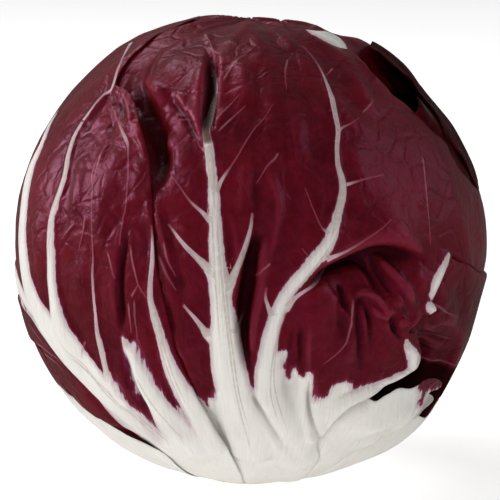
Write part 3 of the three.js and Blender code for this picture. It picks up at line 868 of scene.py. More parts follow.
FRONT_RIBS = {
    "A": "208,146,10 210,160,10 212,178,10 214,200,12 215,220,13 216,240,14.5 217,260,17 "
         "218,280,20 221,300,23 223,320,26 224,340,30 227,360,33 231,380,35 236,400,36 "
         "244,425,36 254,452,36",
    "A_top": "204,32,2 209,40,1.3 213,53,1.8 214,72,3 215,86,5 212,100,7 208,115,7 206,130,7 "
             "207,142,8",
    "B": "302,44,1 313,56,1.2 322,70,2 327,84,3.2 331,100,4.6 334,115,4.6 337,130,4.6 336,148,4.4 "
         "337,165,5 341,181,6.6 341,195,7.5 337,212,9 332,228,11 325,245,13 313,260,14 "
         "301,275,14 290,288,14 281,303,14 275,318,15 270,335,17 267,352,19 265,372,22 "
         "266,392,24 272,415,26 284,440,28 297,462,30",
    "A_left_1": "168,171,1.2 180,187,1.6 190,201,2.4 202,212,4 210,220,7",
    "A_left_2": "167,223,2 176,234,3.4 186,246,4.6 197,257,6 206,266,9 213,276,12",
    "A_left_3": "182,303,2.4 192,314,3.6 201,325,5.4 209,336,9",
    "A_left_4": "196,139,0.6 200,147,1.6 206,151,4",
    "A_right_1": "273,103,0.6 264,117,1 254,128,1.3 245,142,1.5 237,156,1.7 229,169,2.2 221,181,4 "
                 "216,192,6",
    "A_right_2": "252,212,2.4 250,228,3.8 245,246,5.2 239,262,6.4 233,275,8 227,290,12",
    "A_right_3": "242,318,1.4 240,324,3 236,332,6",
    "B_1": "349,258,1 340,266,1.8 328,276,2.2 316,285,2.8 304,291,3.6 294,298,5 286,307,9",
    "B_2": "388,219,0.8 376,230,1.2 362,240,1.8 347,249,2.6 336,254,3.4 324,259,6",
    "B_3": "385,174,0.8 372,177,1.4 358,181,2 344,185,4",
    "B_4": "358,118,0.6 350,124,1.8 341,128,2.6 337,133,4",
    "B_5": "304,185,0.7 311,205,1 317,220,1.3 322,229,2.2 328,234,5",
    "B_6": "266,287,1.6 265,297,3 268,307,4.4 272,316,8",
    "B_7": "301,247,0.8 306,254,1.2 312,259,2",
    "torn": "448,255,4 445,263,6 440,273,8 435,283,9 431,294,7",
    "knob": "427,306,9 429,308,10",
    "flap": "404,336,2 405,345,8 410,355,12 411,365,10",
    "band": "416,352,3 413,364,6 404,371,7 394,377,9 380,384,10 366,391,11 352,397,12 "
            "340,405,13 328,417,14 318,433,16",
}
LEFT_VEINS = [
    "129,242 131,258 134,272 137,284 142,293 149,300", "130,297 134,290 137,284",
    "127,302 129,318 131,334", "133,299 134,315 136,330 137,342", "121,92 128,105 133,122",
    "127,143 121,130 112,110", "84,340 83,350 83,358", "75,222 66,232 60,240",
    "86,215 83,232 77,252", "108,250 112,266 115,280", "103,150 97,170 95,186",
]
FRONT_VEINS = [
    "278,152 274,159 266,167 255,184", "214,122 226,108 240,94", "217,132 233,116 246,104",
    "222,83 230,69 240,58 257,44", "334,65 330,69 326,73",
    "421,150 424,176 427,203 430,228 432,249", "357,300 354,314 350,330 344,344 334,355 320,365",
    "159,254 167,274 176,292", "164,240 168,260 175,278", "220,83 214,72", "288,55 285,70 286,90",
    "362,112 370,104 374,96", "271,262 262,270 252,280",
]
LEFT_WHITE = (
    "20,296 30,312 42,324 53,326 60,330 65,336 70,343 78,353 86,362 94,370 100,378 104,384 "
    "108,388 111,379 118,382 127,398 136,408 146,416 157,429 155,420 150,408 142,398 135,388 "
    "131,380 127,365 124,350 122,337 130,341 135,343 141,355 149,368 157,381 166,395 175,410 "
    "178,418 180,412 177,404 182,406 184,414 188,422 184,408 178,398 174,392 169,380 166,372 "
    "163,362 160,352 164,345 168,356 173,364 183,376 194,388 212,402 240,436 290,470 290,520 "
    "100,520 118,428 94,403 78,383 61,363 46,343 33,324 24,312 19,303")
FRONT_WHITE = (
    "170,520 180,440 196,393 200,398 204,404 207,407 206,398 210,399 213,397 213,391 216,386 "
    "228,370 243,372 248,382 251,389 254,380 256,366 268,350 282,350 290,352 288,358 283,366 "
    "287,376 290,381 293,366 297,374 303,376 305,370 312,371 313,380 314,392 316,401 320,397 "
    "327,396 331,388 337,383 345,381 352,382 353,391 358,386 364,385 380,379 394,375 406,369 "
    "430,364 480,380 480,520")
# faint lines in the white feet
LEFT_FIBRES = ["150,296 156,326 166,360 178,390 192,418", "154,306 162,338 174,372 188,402",
               "60,336 84,364 108,392 136,416 160,436", "70,352 98,380 126,406 152,428",
               "138,372 152,394 168,414 186,434", "126,402 146,422 170,440"]
FRONT_FIBRES = ["217,215 219,250 223,290 228,330 232,365 237,395 245,425 252,450",
                "223,250 227,300 233,350 239,390 249,425", "212,200 214,250 217,300 221,345",
                "332,238 314,266 297,289 284,312 277,340 273,370 276,396 286,426",
                "290,300 279,330 271,362 270,392 278,420", "309,380 310,410 318,436",
                "398,377 376,388 352,400 334,416 322,436"]
LEFT_CREASES = {        # line, depth, width, reach, height on its left and right, faded ends
    "main": ("127,222 122,245 119,268 118,290 120,315 121,336", 2.0, 0.8, 4, 0.0, 1.0),
    "foot": ("196,396 205,412 215,430 228,450 240,474", 0.6, 2.0, 3),
    "outer_foot": ("36,350 45,365 56,382 70,398 85,412 106,426 134,439 153,449 170,462",
                   0.6, 1.5, 3),
    "wedge": ("124,345 128,365 134,384 145,404 158,428", 1.6, 1.6, 3, 0.5, 0.6),
    "step_1": ("110,143 118,146 128,149", 0.5, 0.5, 2, 0.3),
    "step_2": ("109,208 115,216 123,223", 0.5, 0.5, 2, 0.3),
    "step_3": ("132,166 142,173", 0.4, 0.5, 2, 0.3),
    "bow": ("113,84 106,98 96,112 84,124", 1.0, 0.9, 3, 0.9),
    "bow_2": ("108,108 98,114 90,122 82,130", 0.6, 0.7, 2, 0.4),
    "pocket_1": ("119,99 122,108 121,119", 0.9, 0.8, 2),
    "pocket_2": ("130,97 136,112 140,126", 0.9, 0.8, 2),
    "pocket_3": ("108,110 110,130 108,150 98,170", 0.6, 0.8, 2, 0.0, 0.4),
    "by_F": ("145,215 146,240 145,262", 0.5, 1.0, 2),
    "left_F": ("140,300 146,320 152,345", 0.5, 1.6, 2),
    "split_C": ("62,340 84,364 104,384 124,402 146,418", 0.35, 1.0, 3),
    "split_G": ("112,392 130,410 150,424 176,444", 0.45, 1.4, 3),
    "by_D": ("75,146 72,180 66,214 62,250", 0.35, 1.6, 3, 0.3),
}
LEFT_RIDGES = {         # line, height, width
    "rim": ("150,46 134,60 122,80 130,96 138,118 145,142 149,165", 0.9, 1.8),
    "strip_1": ("122,98 127,108 131,120 130,130", 0.6, 0.6),
    "strip_2": ("113,89 121,88 128,94", 0.5, 0.7),
    "strip_3": ("133,128 140,140 145,152 149,165", 0.5, 0.7),
    "sheet_1": ("80,150 78,190 72,220", 0.6, 2.2),
    "sheet_2": ("104,158 102,200 100,240 104,275", 0.5, 2.2),
    "sheet_3": ("138,155 138,190 136,215", 0.6, 2.0),
    "edge": ("148,180 149,215 150,240", 0.6, 1.2),
    "stripe": ("40,200 40,240 43,280", 0.5, 2.4),
    "sheet_4": ("142,305 148,330 153,350", 0.7, 1.8),
    "sheet_5": ("76,250 80,275 80,310", 0.4, 2.6),
}
FRONT_CREASES = {       # as above
    "gap": ("262,222,2 256,240,4 251,258,7 248,280,9 245,300,9 243,318,7 243,338,4 245,358,2 "
            "248,378,1", 6.5, 0.8, 3, 0.7, 0.7),
    "gap_foot": ("248,385 254,398 262,411 270,425 279,439 289,452", 1.5, 0.9, 3, 0.5, 0.3),
    "top": ("210,46,2 211,60,4 211,80,5 210,100,6 208,120,6 208,138,5", 3.2, 0.8, 2.5, 0.9, 1.0),
    "diagonal": ("166,90 173,99 180,109 188,120 194,134 199,146", 1.5, 0.7, 4, 1.0),
    "hollow": ("152,48,3 139,64,5 131,82,6 136,98,7 143,114,8 149,130,7 153,146,5 156,162,3 "
               "158,180,2 160,200,1", 3.8, 2.6, 3),
    "hollow_side": ("146,76 152,98 158,122 162,145 166,168", 1.7, 5.0, 3, 0.0, 0.0, 0.4),
    "arch": ("306,287 320,272 335,264 350,257 364,251 378,246 392,245 406,248 420,254 434,260",
             0.8, 0.9, 9, 1.6, -6.5),
    "lap": ("300,296 314,284 330,274 346,266 360,262 374,260", 1.6, 0.9, 3, 0.8),
    "by_B": ("303,289 318,279 334,268 350,262 364,262", 1.2, 1.6, 3),
    "foot_mid": ("309,370 309,392 309,410 312,425 317,436 323,445", 1.5, 0.8, 2.5, 0.0, 0.5),
    "foot_left": ("200,400 206,412 215,430 226,448 238,470", 0.3, 2.2, 3, 0.0, 0.2),
    "above_band": ("330,403 345,395 360,389 375,383 390,377", 1.1, 0.9, 2),
    "mid_foot": ("262,392 268,410 277,428 290,446 304,462", 1.0, 1.8, 3, 0.0, 0.3),
    "fan_foot": ("330,412 322,426 318,440 320,456", 1.2, 1.6, 3),
    "slit": ("384,248 388,272 393,292 397,306", 1.8, 0.7, 2),
    "hook": ("361,299 366,306 370,318 370,330", 1.0, 0.6, 2),
    "low_fold": ("388,321 395,331 402,341", 1.2, 0.7, 2, 0.5),
    "foot_dip": ("289,366,4 290,384,8 291,402,10 294,424,5", 1.1, 2.6, 3, 0.0, 0.0, 0.5),
    "left_valley": ("162,195 165,228 171,258 179,288 186,312", 1.6, 2.0, 3, 0.0, 0.0, 0.35),
    "left_low": ("164,290 170,318 177,350", 1.0, 1.6, 3, 0.0, 0.0, 0.4),
    "valley_1": ("259,160 256,190 256,228", 1.2, 1.6, 3, 0.0, 0.0, 0.4),
    "valley_2": ("286,120 290,160 295,200 300,235", 0.9, 2.6, 4, 0.0, 0.0, 0.4),
    "valley_3": ("254,56 256,95 262,135", 0.8, 2.4, 4, 0.0, 0.0, 0.45),
    "valley_4": ("229,215 230,240 228,262", 0.7, 1.0, 3),
    "crumple_1": ("345,284 348,298 350,316", 2.0, 0.9, 2, 0.3),
    "crumple_2": ("367,292 362,312 361,340 362,384", 1.7, 0.9, 3, 0.6, 0.0, 0.4),
    "crumple_3": ("373,296 370,312 369,330 369,356", 1.1, 0.7, 2, 0.0, 0.3, 0.4),
    "crumple_4": ("352,268 360,262 372,262 380,272 384,290 392,305", 2.4, 1.4, 2),
    "crumple_5": ("386,312 392,322 396,334", 1.5, 0.9, 2, 0.0, 0.5),
    "crumple_6": ("340,296 343,316 340,340", 1.1, 1.2, 2),
    "tears_1": ("294,322 291,343 288,362", 0.8, 0.7, 2, 0.0, 0.0, 0.4),
    "tears_2": ("300,318 301,345 299,376", 1.1, 0.9, 2, 0.0, 0.0, 0.4),
}
FRONT_RIDGES = {        # as above
    "pit_1": ("148,78 156,92 161,104", 0.7, 1.3),
    "pit_2": ("138,72 147,84 150,96", 0.5, 0.9),
    "pit_3": ("160,122 163,134 163,150", 0.8, 1.0),
    "pit_4": ("144,116 154,117 165,110 172,106", 0.5, 1.0),
    "left_fold": ("155,195 159,220 164,240 170,262 178,284", 1.3, 1.1),
    "left_thin": ("158,250 166,272 177,294", 0.4, 0.6),
    "bulge": ("172,45 180,75 190,105", 0.9, 4.5),
    "bulge_low": ("188,165 192,185 196,200", 0.5, 2.2),
    "lit_1": ("236,52 242,70 246,92 245,112", 1.1, 2.4),
    "lit_2": ("201,62 198,90 197,120", 0.8, 1.2),
    "fold_1": ("247,142 242,175 240,205 238,222", 0.6, 0.7),
    "fold_2": ("252,142 248,178 246,218", 0.6, 0.7),
    "fold_3": ("264,152 271,180 278,200 277,225 271,255 267,285", 0.8, 0.9),
    "fold_4": ("226,200 232,222 235,245 233,270", 0.6, 0.7),
    "fold_5": ("263,280 256,306 251,330 249,356", 1.0, 0.9),
    "sheen_1": ("296,95 297,140 300,185", 0.8, 2.2),
    "sheen_2": ("346,62 362,90 378,122", 0.9, 2.0),
    "streak": ("308,90 318,107 328,123", 0.5, 0.8),
    "by_B": ("300,256 290,270 281,285", 0.8, 1.4),
    "edge_top": ("352,54 368,70 384,86", 0.5, 1.0),
    "finger": ("389,250,2 394,264,3 401,280,3 408,294,4 414,308,3", 2.3, 0.8),
    "finger_2": ("392,288 396,298 402,308", 1.4, 1.3),
    "loop": ("359,302 363,296 370,293 379,299 384,309 392,313 399,312", 1.9, 0.8),
    "loop_2": ("374,304 376,312 384,316 394,318", 1.3, 0.7),
    "pad": ("399,317 402,323", 2.2, 1.3),
    "flap": ("405,327 414,318 423,310", 0.8, 1.0),
    "pleat": ("310,312 308,335 307,355 308,378", 0.8, 0.8),
    "pleat_2": ("319,292 322,320 322,345", 0.6, 2.6),
    "low_sheet": ("352,330 350,350 345,368", 0.7, 2.0),
    "right_low": ("415,262 422,280 424,296", 0.6, 2.4),
    "band": ("407,371 393,378 378,385 362,393 346,401 332,412 321,430", 0.3, 1.5),
}
FRONT_BUMPS = [         # x, y, height, radius in mm
    (184, 229, 0.5, 0.9), (186, 255, 0.35, 0.7), (180, 353, 0.4, 0.9), (190, 348, 0.4, 0.9),
    (157, 91, 0.9, 1.3), (177, 113, 0.5, 0.8), (181, 118, 0.4, 0.7), (291, 161, 0.4, 0.6),
    (352, 154, 0.6, 2.4), (358, 171, 0.8, 2.0), (340, 99, 0.7, 1.8), (335, 86, 0.5, 1.2),
    (394, 287, 0.7, 0.7), (388, 300, 0.5, 0.5), (392, 304, 0.5, 0.5), (374, 311, 0.6, 0.8),
    (399, 321, 0.8, 0.9), (385, 324, 0.5, 0.7), (378, 372, 0.4, 0.8), (421, 204, 0.3, 0.9),
    (214, 168, 0.3, 1.0), (222, 168, 0.6, 1.4), (197, 203, 0.4, 0.7), (258, 180, 0.5, 1.0),
    (166, 140, 1.2, 2.4), (308, 313, 0.5, 0.8), (429, 307, 1.5, 1.1),
]
# lines of painted deep shade, with the mm that it reaches and how dark it is
LEFT_DARK = [("123,245 119,268 118,290 119,320 121,338", 1.0, 0.55),
             ("132,300 134,316 136,334", 0.6, 0.4), ("121,102 122,110 121,118", 0.8, 0.4)]
FRONT_DARK = [("140,58,2 132,80,4 138,102,6 145,122,6 151,142,5 155,162,4 158,185,2 160,205,1",
               2.2, 0.62),
              ("153,200 155,230 159,258 164,290 170,322 175,352", 1.3, 0.6),
              ("209,56,2 210,70,3 209,90,4 206,110,4 204,126,3 205,138,2", 0.8, 0.75),
              ("255,190,1 254,225,1 251,250,1 248,278,2 246,302,3 243,330,2 244,362,1", 1.2, 0.35),
              ("366,392 382,377 398,371 412,362", 0.5, 0.3),
              ("300,290 316,278 332,268 348,263", 1.2, 0.35),
              ("352,268 362,262 373,265 381,278 387,295", 1.4, 0.5),
              ("345,284 349,300 351,320", 0.8, 0.45),
              ("363,296 369,310 371,328 369,350", 0.7, 0.5),
              ("394,292 401,306 406,319 404,332", 0.6, 0.45),
              ("384,316 392,326 397,338", 0.6, 0.4),
              ("293,322 290,344 288,364", 0.5, 0.4), ("299,318 300,345 299,372", 0.5, 0.45)]
# painted shade on the white beside the top groove, in a dull brown
SHADED_RIB_LINE = "209,40,2 213,53,2 215,72,3 214,90,4 209,110,7 206,128,8 207,139,7"


def draw_leaf(leaf, ribs, veins, white, seed, wrinkles, sunk):
    """ribs, veins and white as in the photograph, and the blade between them"""
    add_ribs(leaf, ribs, LOW_RIBS)
    add_veins(leaf, veins)
    add_white_area(leaf, white)
    add_wrinkles(leaf, seed, wrinkles)
    sink_between_ribs(leaf, sunk)


def draw_left_leaf(leaf):
    draw_leaf(leaf, LEFT_RIBS, LEFT_VEINS + LEFT_FIBRES, LEFT_WHITE, seed=11, wrinkles=1.0,
              sunk=1.0)
    draw_folds(leaf, LEFT_CREASES, LEFT_RIDGES, strength=1.2)
    add_dark_lines(leaf, LEFT_DARK)


def draw_front_leaf(leaf):
    draw_leaf(leaf, FRONT_RIBS, FRONT_VEINS + FRONT_FIBRES, FRONT_WHITE, seed=21, wrinkles=0.9,
              sunk=0.7)
    draw_folds(leaf, FRONT_CREASES, FRONT_RIDGES, FRONT_BUMPS, strength=1.2)
    add_dark_lines(leaf, FRONT_DARK)
    # painted shade on the rib beside the top groove
    at, away, _, half, _ = Line.drawn(SHADED_RIB_LINE).measure(leaf.flat, 2)
    leaf.shade.reshape(-1)[at] = 1 - smoothstep(away - half, 0, 1)


# ---- markings of the leaves beside and behind them ----

SIDE_CREASES = {
    "fold_1": ("417,320 425,332 436,339 448,342 462,341", 1.8, 1.0, 3, 0.8),
    "fold_2": ("420,342 428,352 440,358 456,356", 1.6, 1.0, 3, 0.8),
    "fold_3": ("424,310 434,322 448,328 464,326", 0.8, 1.2, 3, 0.4),
    "bay": ("455,285 462,300 466,318", 0.6, 2.4, 3),
}
SIDE_RIDGES = {
    "hem": ("438,374 446,369 454,364", 0.8, 0.8),
    "swell": ("440,285 444,300 446,312", 0.8, 3.0),
}
SIDE_VEINS = ["440,374 450,367 460,361", "424,336 436,340 460,342", "422,348 436,354 454,355",
              "430,300 446,312 462,318"]
RIGHT_RIB_CREASES = {
    "under": ("322,424 334,412 348,402 362,396 374,391", 3.4, 2.6, 3),
    "end": ("415,393 411,401 405,409", 1.0, 0.7, 3),
    "below": ("346,446 362,436 380,427 398,415", 1.0, 1.6, 3),
}
RIGHT_RIB_RIDGES = {
    "body": ("344,432 362,422 380,412 396,402 410,392", 2.3, 2.6),
    "lip": ("421,390 428,387 435,385 440,383", 0.6, 0.6),
}
LOW_VEINS = ["32,340 45,352 60,362 68,370", "72,393 82,406 92,414", "40,352 52,362 62,372",
             "28,325 36,338 46,350"]
TOP_RIBS = {"edge": "308,27,1.5 317,31,5 325,34,7.5 334,39,8 342,45,7 349,51,4 354,56,1.5"}
# middles of the places where leaves dip in or swell out
TOP_HOLLOW = pixel(418, 92)
RIGHT_SWELL = pixel(384, 414)
BASE_HOLLOW = pixel(400, 412)
SIDE_HOLLOW = pixel(418, 388)
# the deep shade behind the front leaf's upper edge, and the crests in it
TOP_SHADE = "345,30 395,22 440,55 465,95 490,140 510,200 500,225 476,206 450,164 428,134 410,113" \
            " 395,96 375,80 352,62"
SHADE_EDGES = ["376,60 388,74 400,90 412,106 424,121", "392,62 404,76 416,92 428,112 438,132",
               "412,86 420,98 426,112 432,126", "446,132 456,150 466,170 474,188"]
BACK_RIGHT_RIDGES = {
    "fold_1": ("396,66 408,80 420,96 430,114 440,134", 1.0, 0.9),
    "fold_2": ("446,132 456,150 466,170 474,188", 0.8, 0.8),
}
BACK_TOP_RIDGES = {
    "fold_1": ("370,60 384,74 398,90 412,106 424,121", 1.6, 1.2),
    "fold_2": ("388,64 402,80 416,98", 1.2, 1.0),
}
# lines of painted shade along the side leaf's folds, with the mm that it reaches and how dark it
# is
SIDE_DARK = [("414,318 422,331 434,339 447,342 462,340", 1.3, 0.6),
             ("419,342 428,352 441,358 458,356", 1.0, 0.5),
             ("424,308 434,320 448,326 464,324", 0.8, 0.35)]
# painted shade over the lower right of the side leaf
SIDE_SHADE = "400,296 440,290 486,286 486,390 400,384"

# ---- all the leaves, from the outermost inwards ----

FINE_CELL = 0.62               # degrees between the places of a leaf's grid
SIDE_CELL = FINE_CELL * 1.2
LOW_CELL = FINE_CELL * 1.5
OUTER_CELL = 1.0
INNER_CELL = 3.2
WIDE_CLASP = 15                # half width in degrees of a broad base
INNER_COUNT = 14
GOLDEN_ANGLE = 137.5           # degrees from one inner leaf to the next, as they grow


def smooth_loop(directions):
    return unit(spline(np.array(directions), closed=True))


LEFT_EDGE = [
    *trace("240,474 228,450 215,430 205,412 196,394 188,378 180,360 175,350 171,335 167,320 "
           "163,303 160,289 156,264 154,240 153,213 152,190 151,172 149,155 143,132 136,106 "
           "129,93 119,88 117,80 129,61 145,47 154,40 162,33"),
    *around("-95,78 -118,72 -138,55 -143,25 -138,0 -122,-12 -104,-14"),
    *trace("15,291 20,303 27,312 34,321 46,340 61,360 78,380 94,400 114,424 134,440 156,454"),
    *around("-52,-68 -66,-78 -80,-86 0,-86 -4,-76")]
FRONT_EDGE = [
    *trace("316,462 318,446 325,430 334,417 346,405 356,399 366,393 375,387 384,381 395,376 "
           "405,371 414,364 418,357 419,349 417,340 412,333 406,332 412,325 418,318 422,314 "
           "427,314 432,312 435,308 434,303 431,300 433,296 437,290 440,283 443,275 447,268 "
           "453,260 453,255 462,261 472,265 483,272"),
    *around("98,-4 106,8 98,20"),
    *trace("481,193 475,187 465,175 455,163 449,153 446,144 436,133 428,124 420,115 410,105 "
           "403,99 394,93 385,84 371,74 361,62 350,50 330,43 313,37 300,31 288,26"),
    *around("150,80 -150,80 -105,72 -84,62 -74,47 -58,30 -46,12 -40,-6 -34,-25 -36,-45 -46,-74 "
            "0,-86 44,-80")]
RIGHT_RIB_EDGE = [
    *trace("334,465 350,453 364,443 376,432 386,426 395,420 403,414 409,412 415,410 419,406 "
           "426,401 430,397 429,393 424,390 429,387 436,386 440,384 439,380 434,377 427,377 "
           "421,379 415,382 406,385 396,385 386,390 380,393 371,398 362,395 350,394 336,400 "
           "322,410 310,426 300,444"),
    *around("10,-66 20,-82 50,-82")]
# the red tip of the torn rib, the dark room under it (painted shade on the leaf under it), and its
# torn and brown end
RIGHT_TIP = "414,382 421,377 428,374 436,374 444,378 443,384 436,384 429,386 422,389 419,393 " \
            "416,399 412,400 415,393 418,388 413,386"
VOID = "365,398 380,390 395,380 412,366 424,356 432,366 441,374 450,369 458,363 490,345 " \
       "490,430 400,430"
RIGHT_TORN = "420,396 425,391 432,393 431,401 422,408 412,413 405,412 413,405"
RIGHT_BASE_EDGE = [
    *around("6,-80 12,-66"),
    *trace("322,446 338,430 354,420 370,412 388,408 402,410 414,414 424,412 432,407 438,402"),
    *around("97,-37 110,-40 124,-50 132,-66 110,-80 60,-85")]
BACK_LEFT_EDGE = [
    *trace("170,462 153,449 134,439 106,426 85,412 70,398 56,382 45,365 36,350"),
    *around("-100,-18 -104,0 -106,20 -112,38 -126,50 -146,54 -166,46 -180,28 -190,5 -196,-20 "
            "-198,-45 -190,-70 -160,-84 -142,-87 -90,-85 -50,-76")]
RIGHT_SIDE_EDGE = [
    *around("60,-80 52,-60 46,-40 42,-20 40,0 44,20 56,36 76,44 98,40 114,24 120,0 120,-25 "
            "114,-50 100,-76")]
BACK_RIGHT_EDGE = [
    *around("106,-72 106,-45 105,-20 98,3"),
    *trace("476,186 470,176 456,152 445,138 440,128 436,116 430,106 424,98 418,90 408,80 400,73 "
           "390,66 384,60 376,53 368,48"),
    *around("126,54 150,62 176,55 192,30 194,0 186,-30 172,-55 165,-80 120,-86")]


def grown_leaf(name, azimuth, seed, reach, width, loop=None, clasp=CLASP, foot=FOOT_ELEVATION,
               cell=OUTER_CELL, pairs=7, **more):
    """a leaf whose ribs, white foot and waves grow by themselves, in a plain outline or a loop"""
    if loop is None:
        loop = plain_outline(reach, width, clasp)
    leaf = Leaf(name, azimuth, cell, loop, **more)
    grow_ribs(leaf, seed, reach, width, pairs)
    add_base(leaf, foot)
    add_wrinkles(leaf, seed)
    return leaf


def right_rib():
    leaf = Leaf("leaf_right_rib", 58, FINE_CELL, smooth_loop(RIGHT_RIB_EDGE), base=3.4,
                dip=hollow(RIGHT_SWELL, radius=5, rim=10, depth=-1.8))
    add_base(leaf, 0)
    leaf.white = np.minimum(leaf.white, -facing_depth(leaf, RIGHT_TIP))
    leaf.shade = 0.6 * smoothstep(facing_depth(leaf, RIGHT_TORN), -0.5, 0.8)
    add_wrinkles(leaf, 41, 0.4)
    draw_folds(leaf, RIGHT_RIB_CREASES, RIGHT_RIB_RIDGES)
    return leaf


def right_side():
    leaf = Leaf("leaf_right_side", 82, SIDE_CELL, smooth_loop(RIGHT_SIDE_EDGE),
                dip=hollow(SIDE_HOLLOW, radius=8, rim=7, depth=11))
    add_base(leaf, -62)
    # painted shade: deep behind the front leaf's upper edge and in the room under the torn rib,
    # lighter over the lower right, and along the folds
    add_deep_shade(leaf, 0.75)
    darken(leaf, shade_area(leaf, VOID, 0.93, 0.7))
    add_wrinkles(leaf, 91)
    darken(leaf, shade_area(leaf, SIDE_SHADE, 0.3, 4.0))
    add_dark_lines(leaf, SIDE_DARK)
    draw_folds(leaf, SIDE_CREASES, SIDE_RIDGES)
    add_veins(leaf, SIDE_VEINS)
    return leaf


def make_leaves():
    """each leaf in turn; a name says where it is, seen from the front"""
    yield grown_leaf("leaf_back_left", azimuth=-142, seed=31, reach=150, width=55,
                     loop=smooth_loop(BACK_LEFT_EDGE), foot=-24)
    leaf = Leaf("leaf_left", -78, FINE_CELL, smooth_loop(LEFT_EDGE))
    draw_left_leaf(leaf)
    yield leaf
    leaf = Leaf("leaf_front", 32, FINE_CELL, smooth_loop(FRONT_EDGE))
    draw_front_leaf(leaf)
    yield leaf
    yield right_rib()
    leaf = grown_leaf("leaf_back_right", azimuth=128, seed=51, reach=150, width=60,
                      loop=smooth_loop(BACK_RIGHT_EDGE))
    draw_folds(leaf, {}, BACK_RIGHT_RIDGES)
    # painted deep shade behind the front leaf's upper edge
    add_deep_shade(leaf, 0.74)
    yield leaf
    yield grown_leaf("leaf_back", azimuth=-158, seed=61, reach=142, width=58,
                     clasp=WIDE_CLASP)
    leaf = Leaf("leaf_right_base", 72, LOW_CELL, smooth_loop(RIGHT_BASE_EDGE),
                dip=hollow(BASE_HOLLOW, radius=8, rim=9, depth=2.2))
    add_base(leaf, 0)
    add_wrinkles(leaf, 71, 0.4)
    yield leaf
    leaf = Leaf("leaf_left_low", -66, LOW_CELL, plain_outline(118, 44, WIDE_CLASP))
    add_veins(leaf, LOW_VEINS)
    add_base(leaf, -50, 0)
    add_wrinkles(leaf, 81, 1.2)
    yield leaf
    yield right_side()
    leaf = grown_leaf("leaf_back_top", azimuth=172, seed=101, reach=196, width=44,
                      dip=hollow(TOP_HOLLOW, radius=12, rim=12, depth=5))
    draw_folds(leaf, {}, BACK_TOP_RIDGES)
    add_ribs(leaf, TOP_RIBS)
    yield leaf
    for i in range(INNER_COUNT):
        share = i / (INNER_COUNT - 1)
        yield grown_leaf(f"leaf_inner_{i + 1:02d}", azimuth=60 + GOLDEN_ANGLE * i,
                         seed=111 + 10 * i, reach=176 - 28 * share, width=62 + 12 * share,
                         cell=INNER_CELL, pairs=4, base=2.0, gap=0.7 + 0.7 * share,
                         dip=hollow(TOP_HOLLOW, radius=12, rim=16, depth=8))


# ---- materials ----


def srgb(r, g, b):
    def linear(v):
        v /= 255
        return v / 12.92 if v <= 0.04045 else ((v + 0.055) / 1.055) ** 2.4
    return (linear(r), linear(g), linear(b), 1.0)


class Value:
    """a number or a vector in a material's node tree; sums and so on make further nodes"""

    def __init__(self, nodes, socket):
        self.nodes, self.socket = nodes, socket

    def __add__(self, other):
        return self.nodes.math("ADD", self, other)

    def __sub__(self, other):
        return self.nodes.math("SUBTRACT", self, other)

    def __rsub__(self, other):
        return self.nodes.math("SUBTRACT", other, self)

    def __mul__(self, other):
        return self.nodes.math("MULTIPLY", self, other)

    def ramp(self, low, high, to_low=0.0, to_high=1.0):
        """smooth step from one value to another"""
        inputs = {0: self, 1: low, 2: high, 3: to_low, 4: to_high}
        return self.nodes.node("ShaderNodeMapRange", inputs, 0, interpolation_type="SMOOTHSTEP")


class Nodes:
    """a material's node tree, built with short calls that give values back"""

    def __init__(self, name):
        self.material = bpy.data.materials.new(name)
        self.material.use_nodes = True
        self.tree = self.material.node_tree
        self.shader = self.tree.nodes["Principled BSDF"]

    @functools.cached_property
    def where(self):
        """the place on the object"""
        return self.node("ShaderNodeTexCoord", {}, "Object")

    def node(self, kind, inputs, output, **settings):
        made = self.tree.nodes.new(kind)
        for key, value in settings.items():
            setattr(made, key, value)
        for key, value in inputs.items():
            self.put(made.inputs[key], value)
        return Value(self, made.outputs[output])

    def put(self, socket, value):
        if isinstance(value, Value):
            self.tree.links.new(value.socket, socket)
        else:
            socket.default_value = value

    def surface(self, **inputs):
        """the shader's inputs, with _ for a space"""
        for name, value in inputs.items():
            self.put(self.shader.inputs[name.replace("_", " ")], value)

    def bump(self, height, strength, distance):
        inputs = {"Height": height, "Strength": strength, "Distance": distance}
        self.surface(Normal=self.node("ShaderNodeBump", inputs, 0))

    def math(self, operation, *values):
        return self.node("ShaderNodeMath", dict(enumerate(values)), 0, operation=operation)

    def most(self, a, b):
        return self.math("MAXIMUM", a, b)

    def mix(self, share, a, b, blend="MIX"):
        return self.node("ShaderNodeMix", {0: share, 6: a, 7: b}, 2, data_type="RGBA",
                         blend_type=blend)

    def field(self, name):
        return self.node("ShaderNodeAttribute", {}, "Fac", attribute_name=name)

    def noise(self, scale, detail=3.0, where=None):
        """about -1 to 1"""
        inputs = {"Vector": where or self.where, "Scale": scale, "Detail": detail,
                  "Roughness": 0.55}
        raw = self.node("ShaderNodeTexNoise", inputs, "Fac")
        return self.math("MULTIPLY_ADD", raw, 3.0, -1.5)

    def streaks(self, across, along):
        """noise in streaks up the leaf, with its scales in 1 / degree"""
        inputs = {0: self.field("turn") * across, 1: self.field("polar") * along, 2: 0.0}
        return self.noise(1.0, where=self.node("ShaderNodeCombineXYZ", inputs, 0))


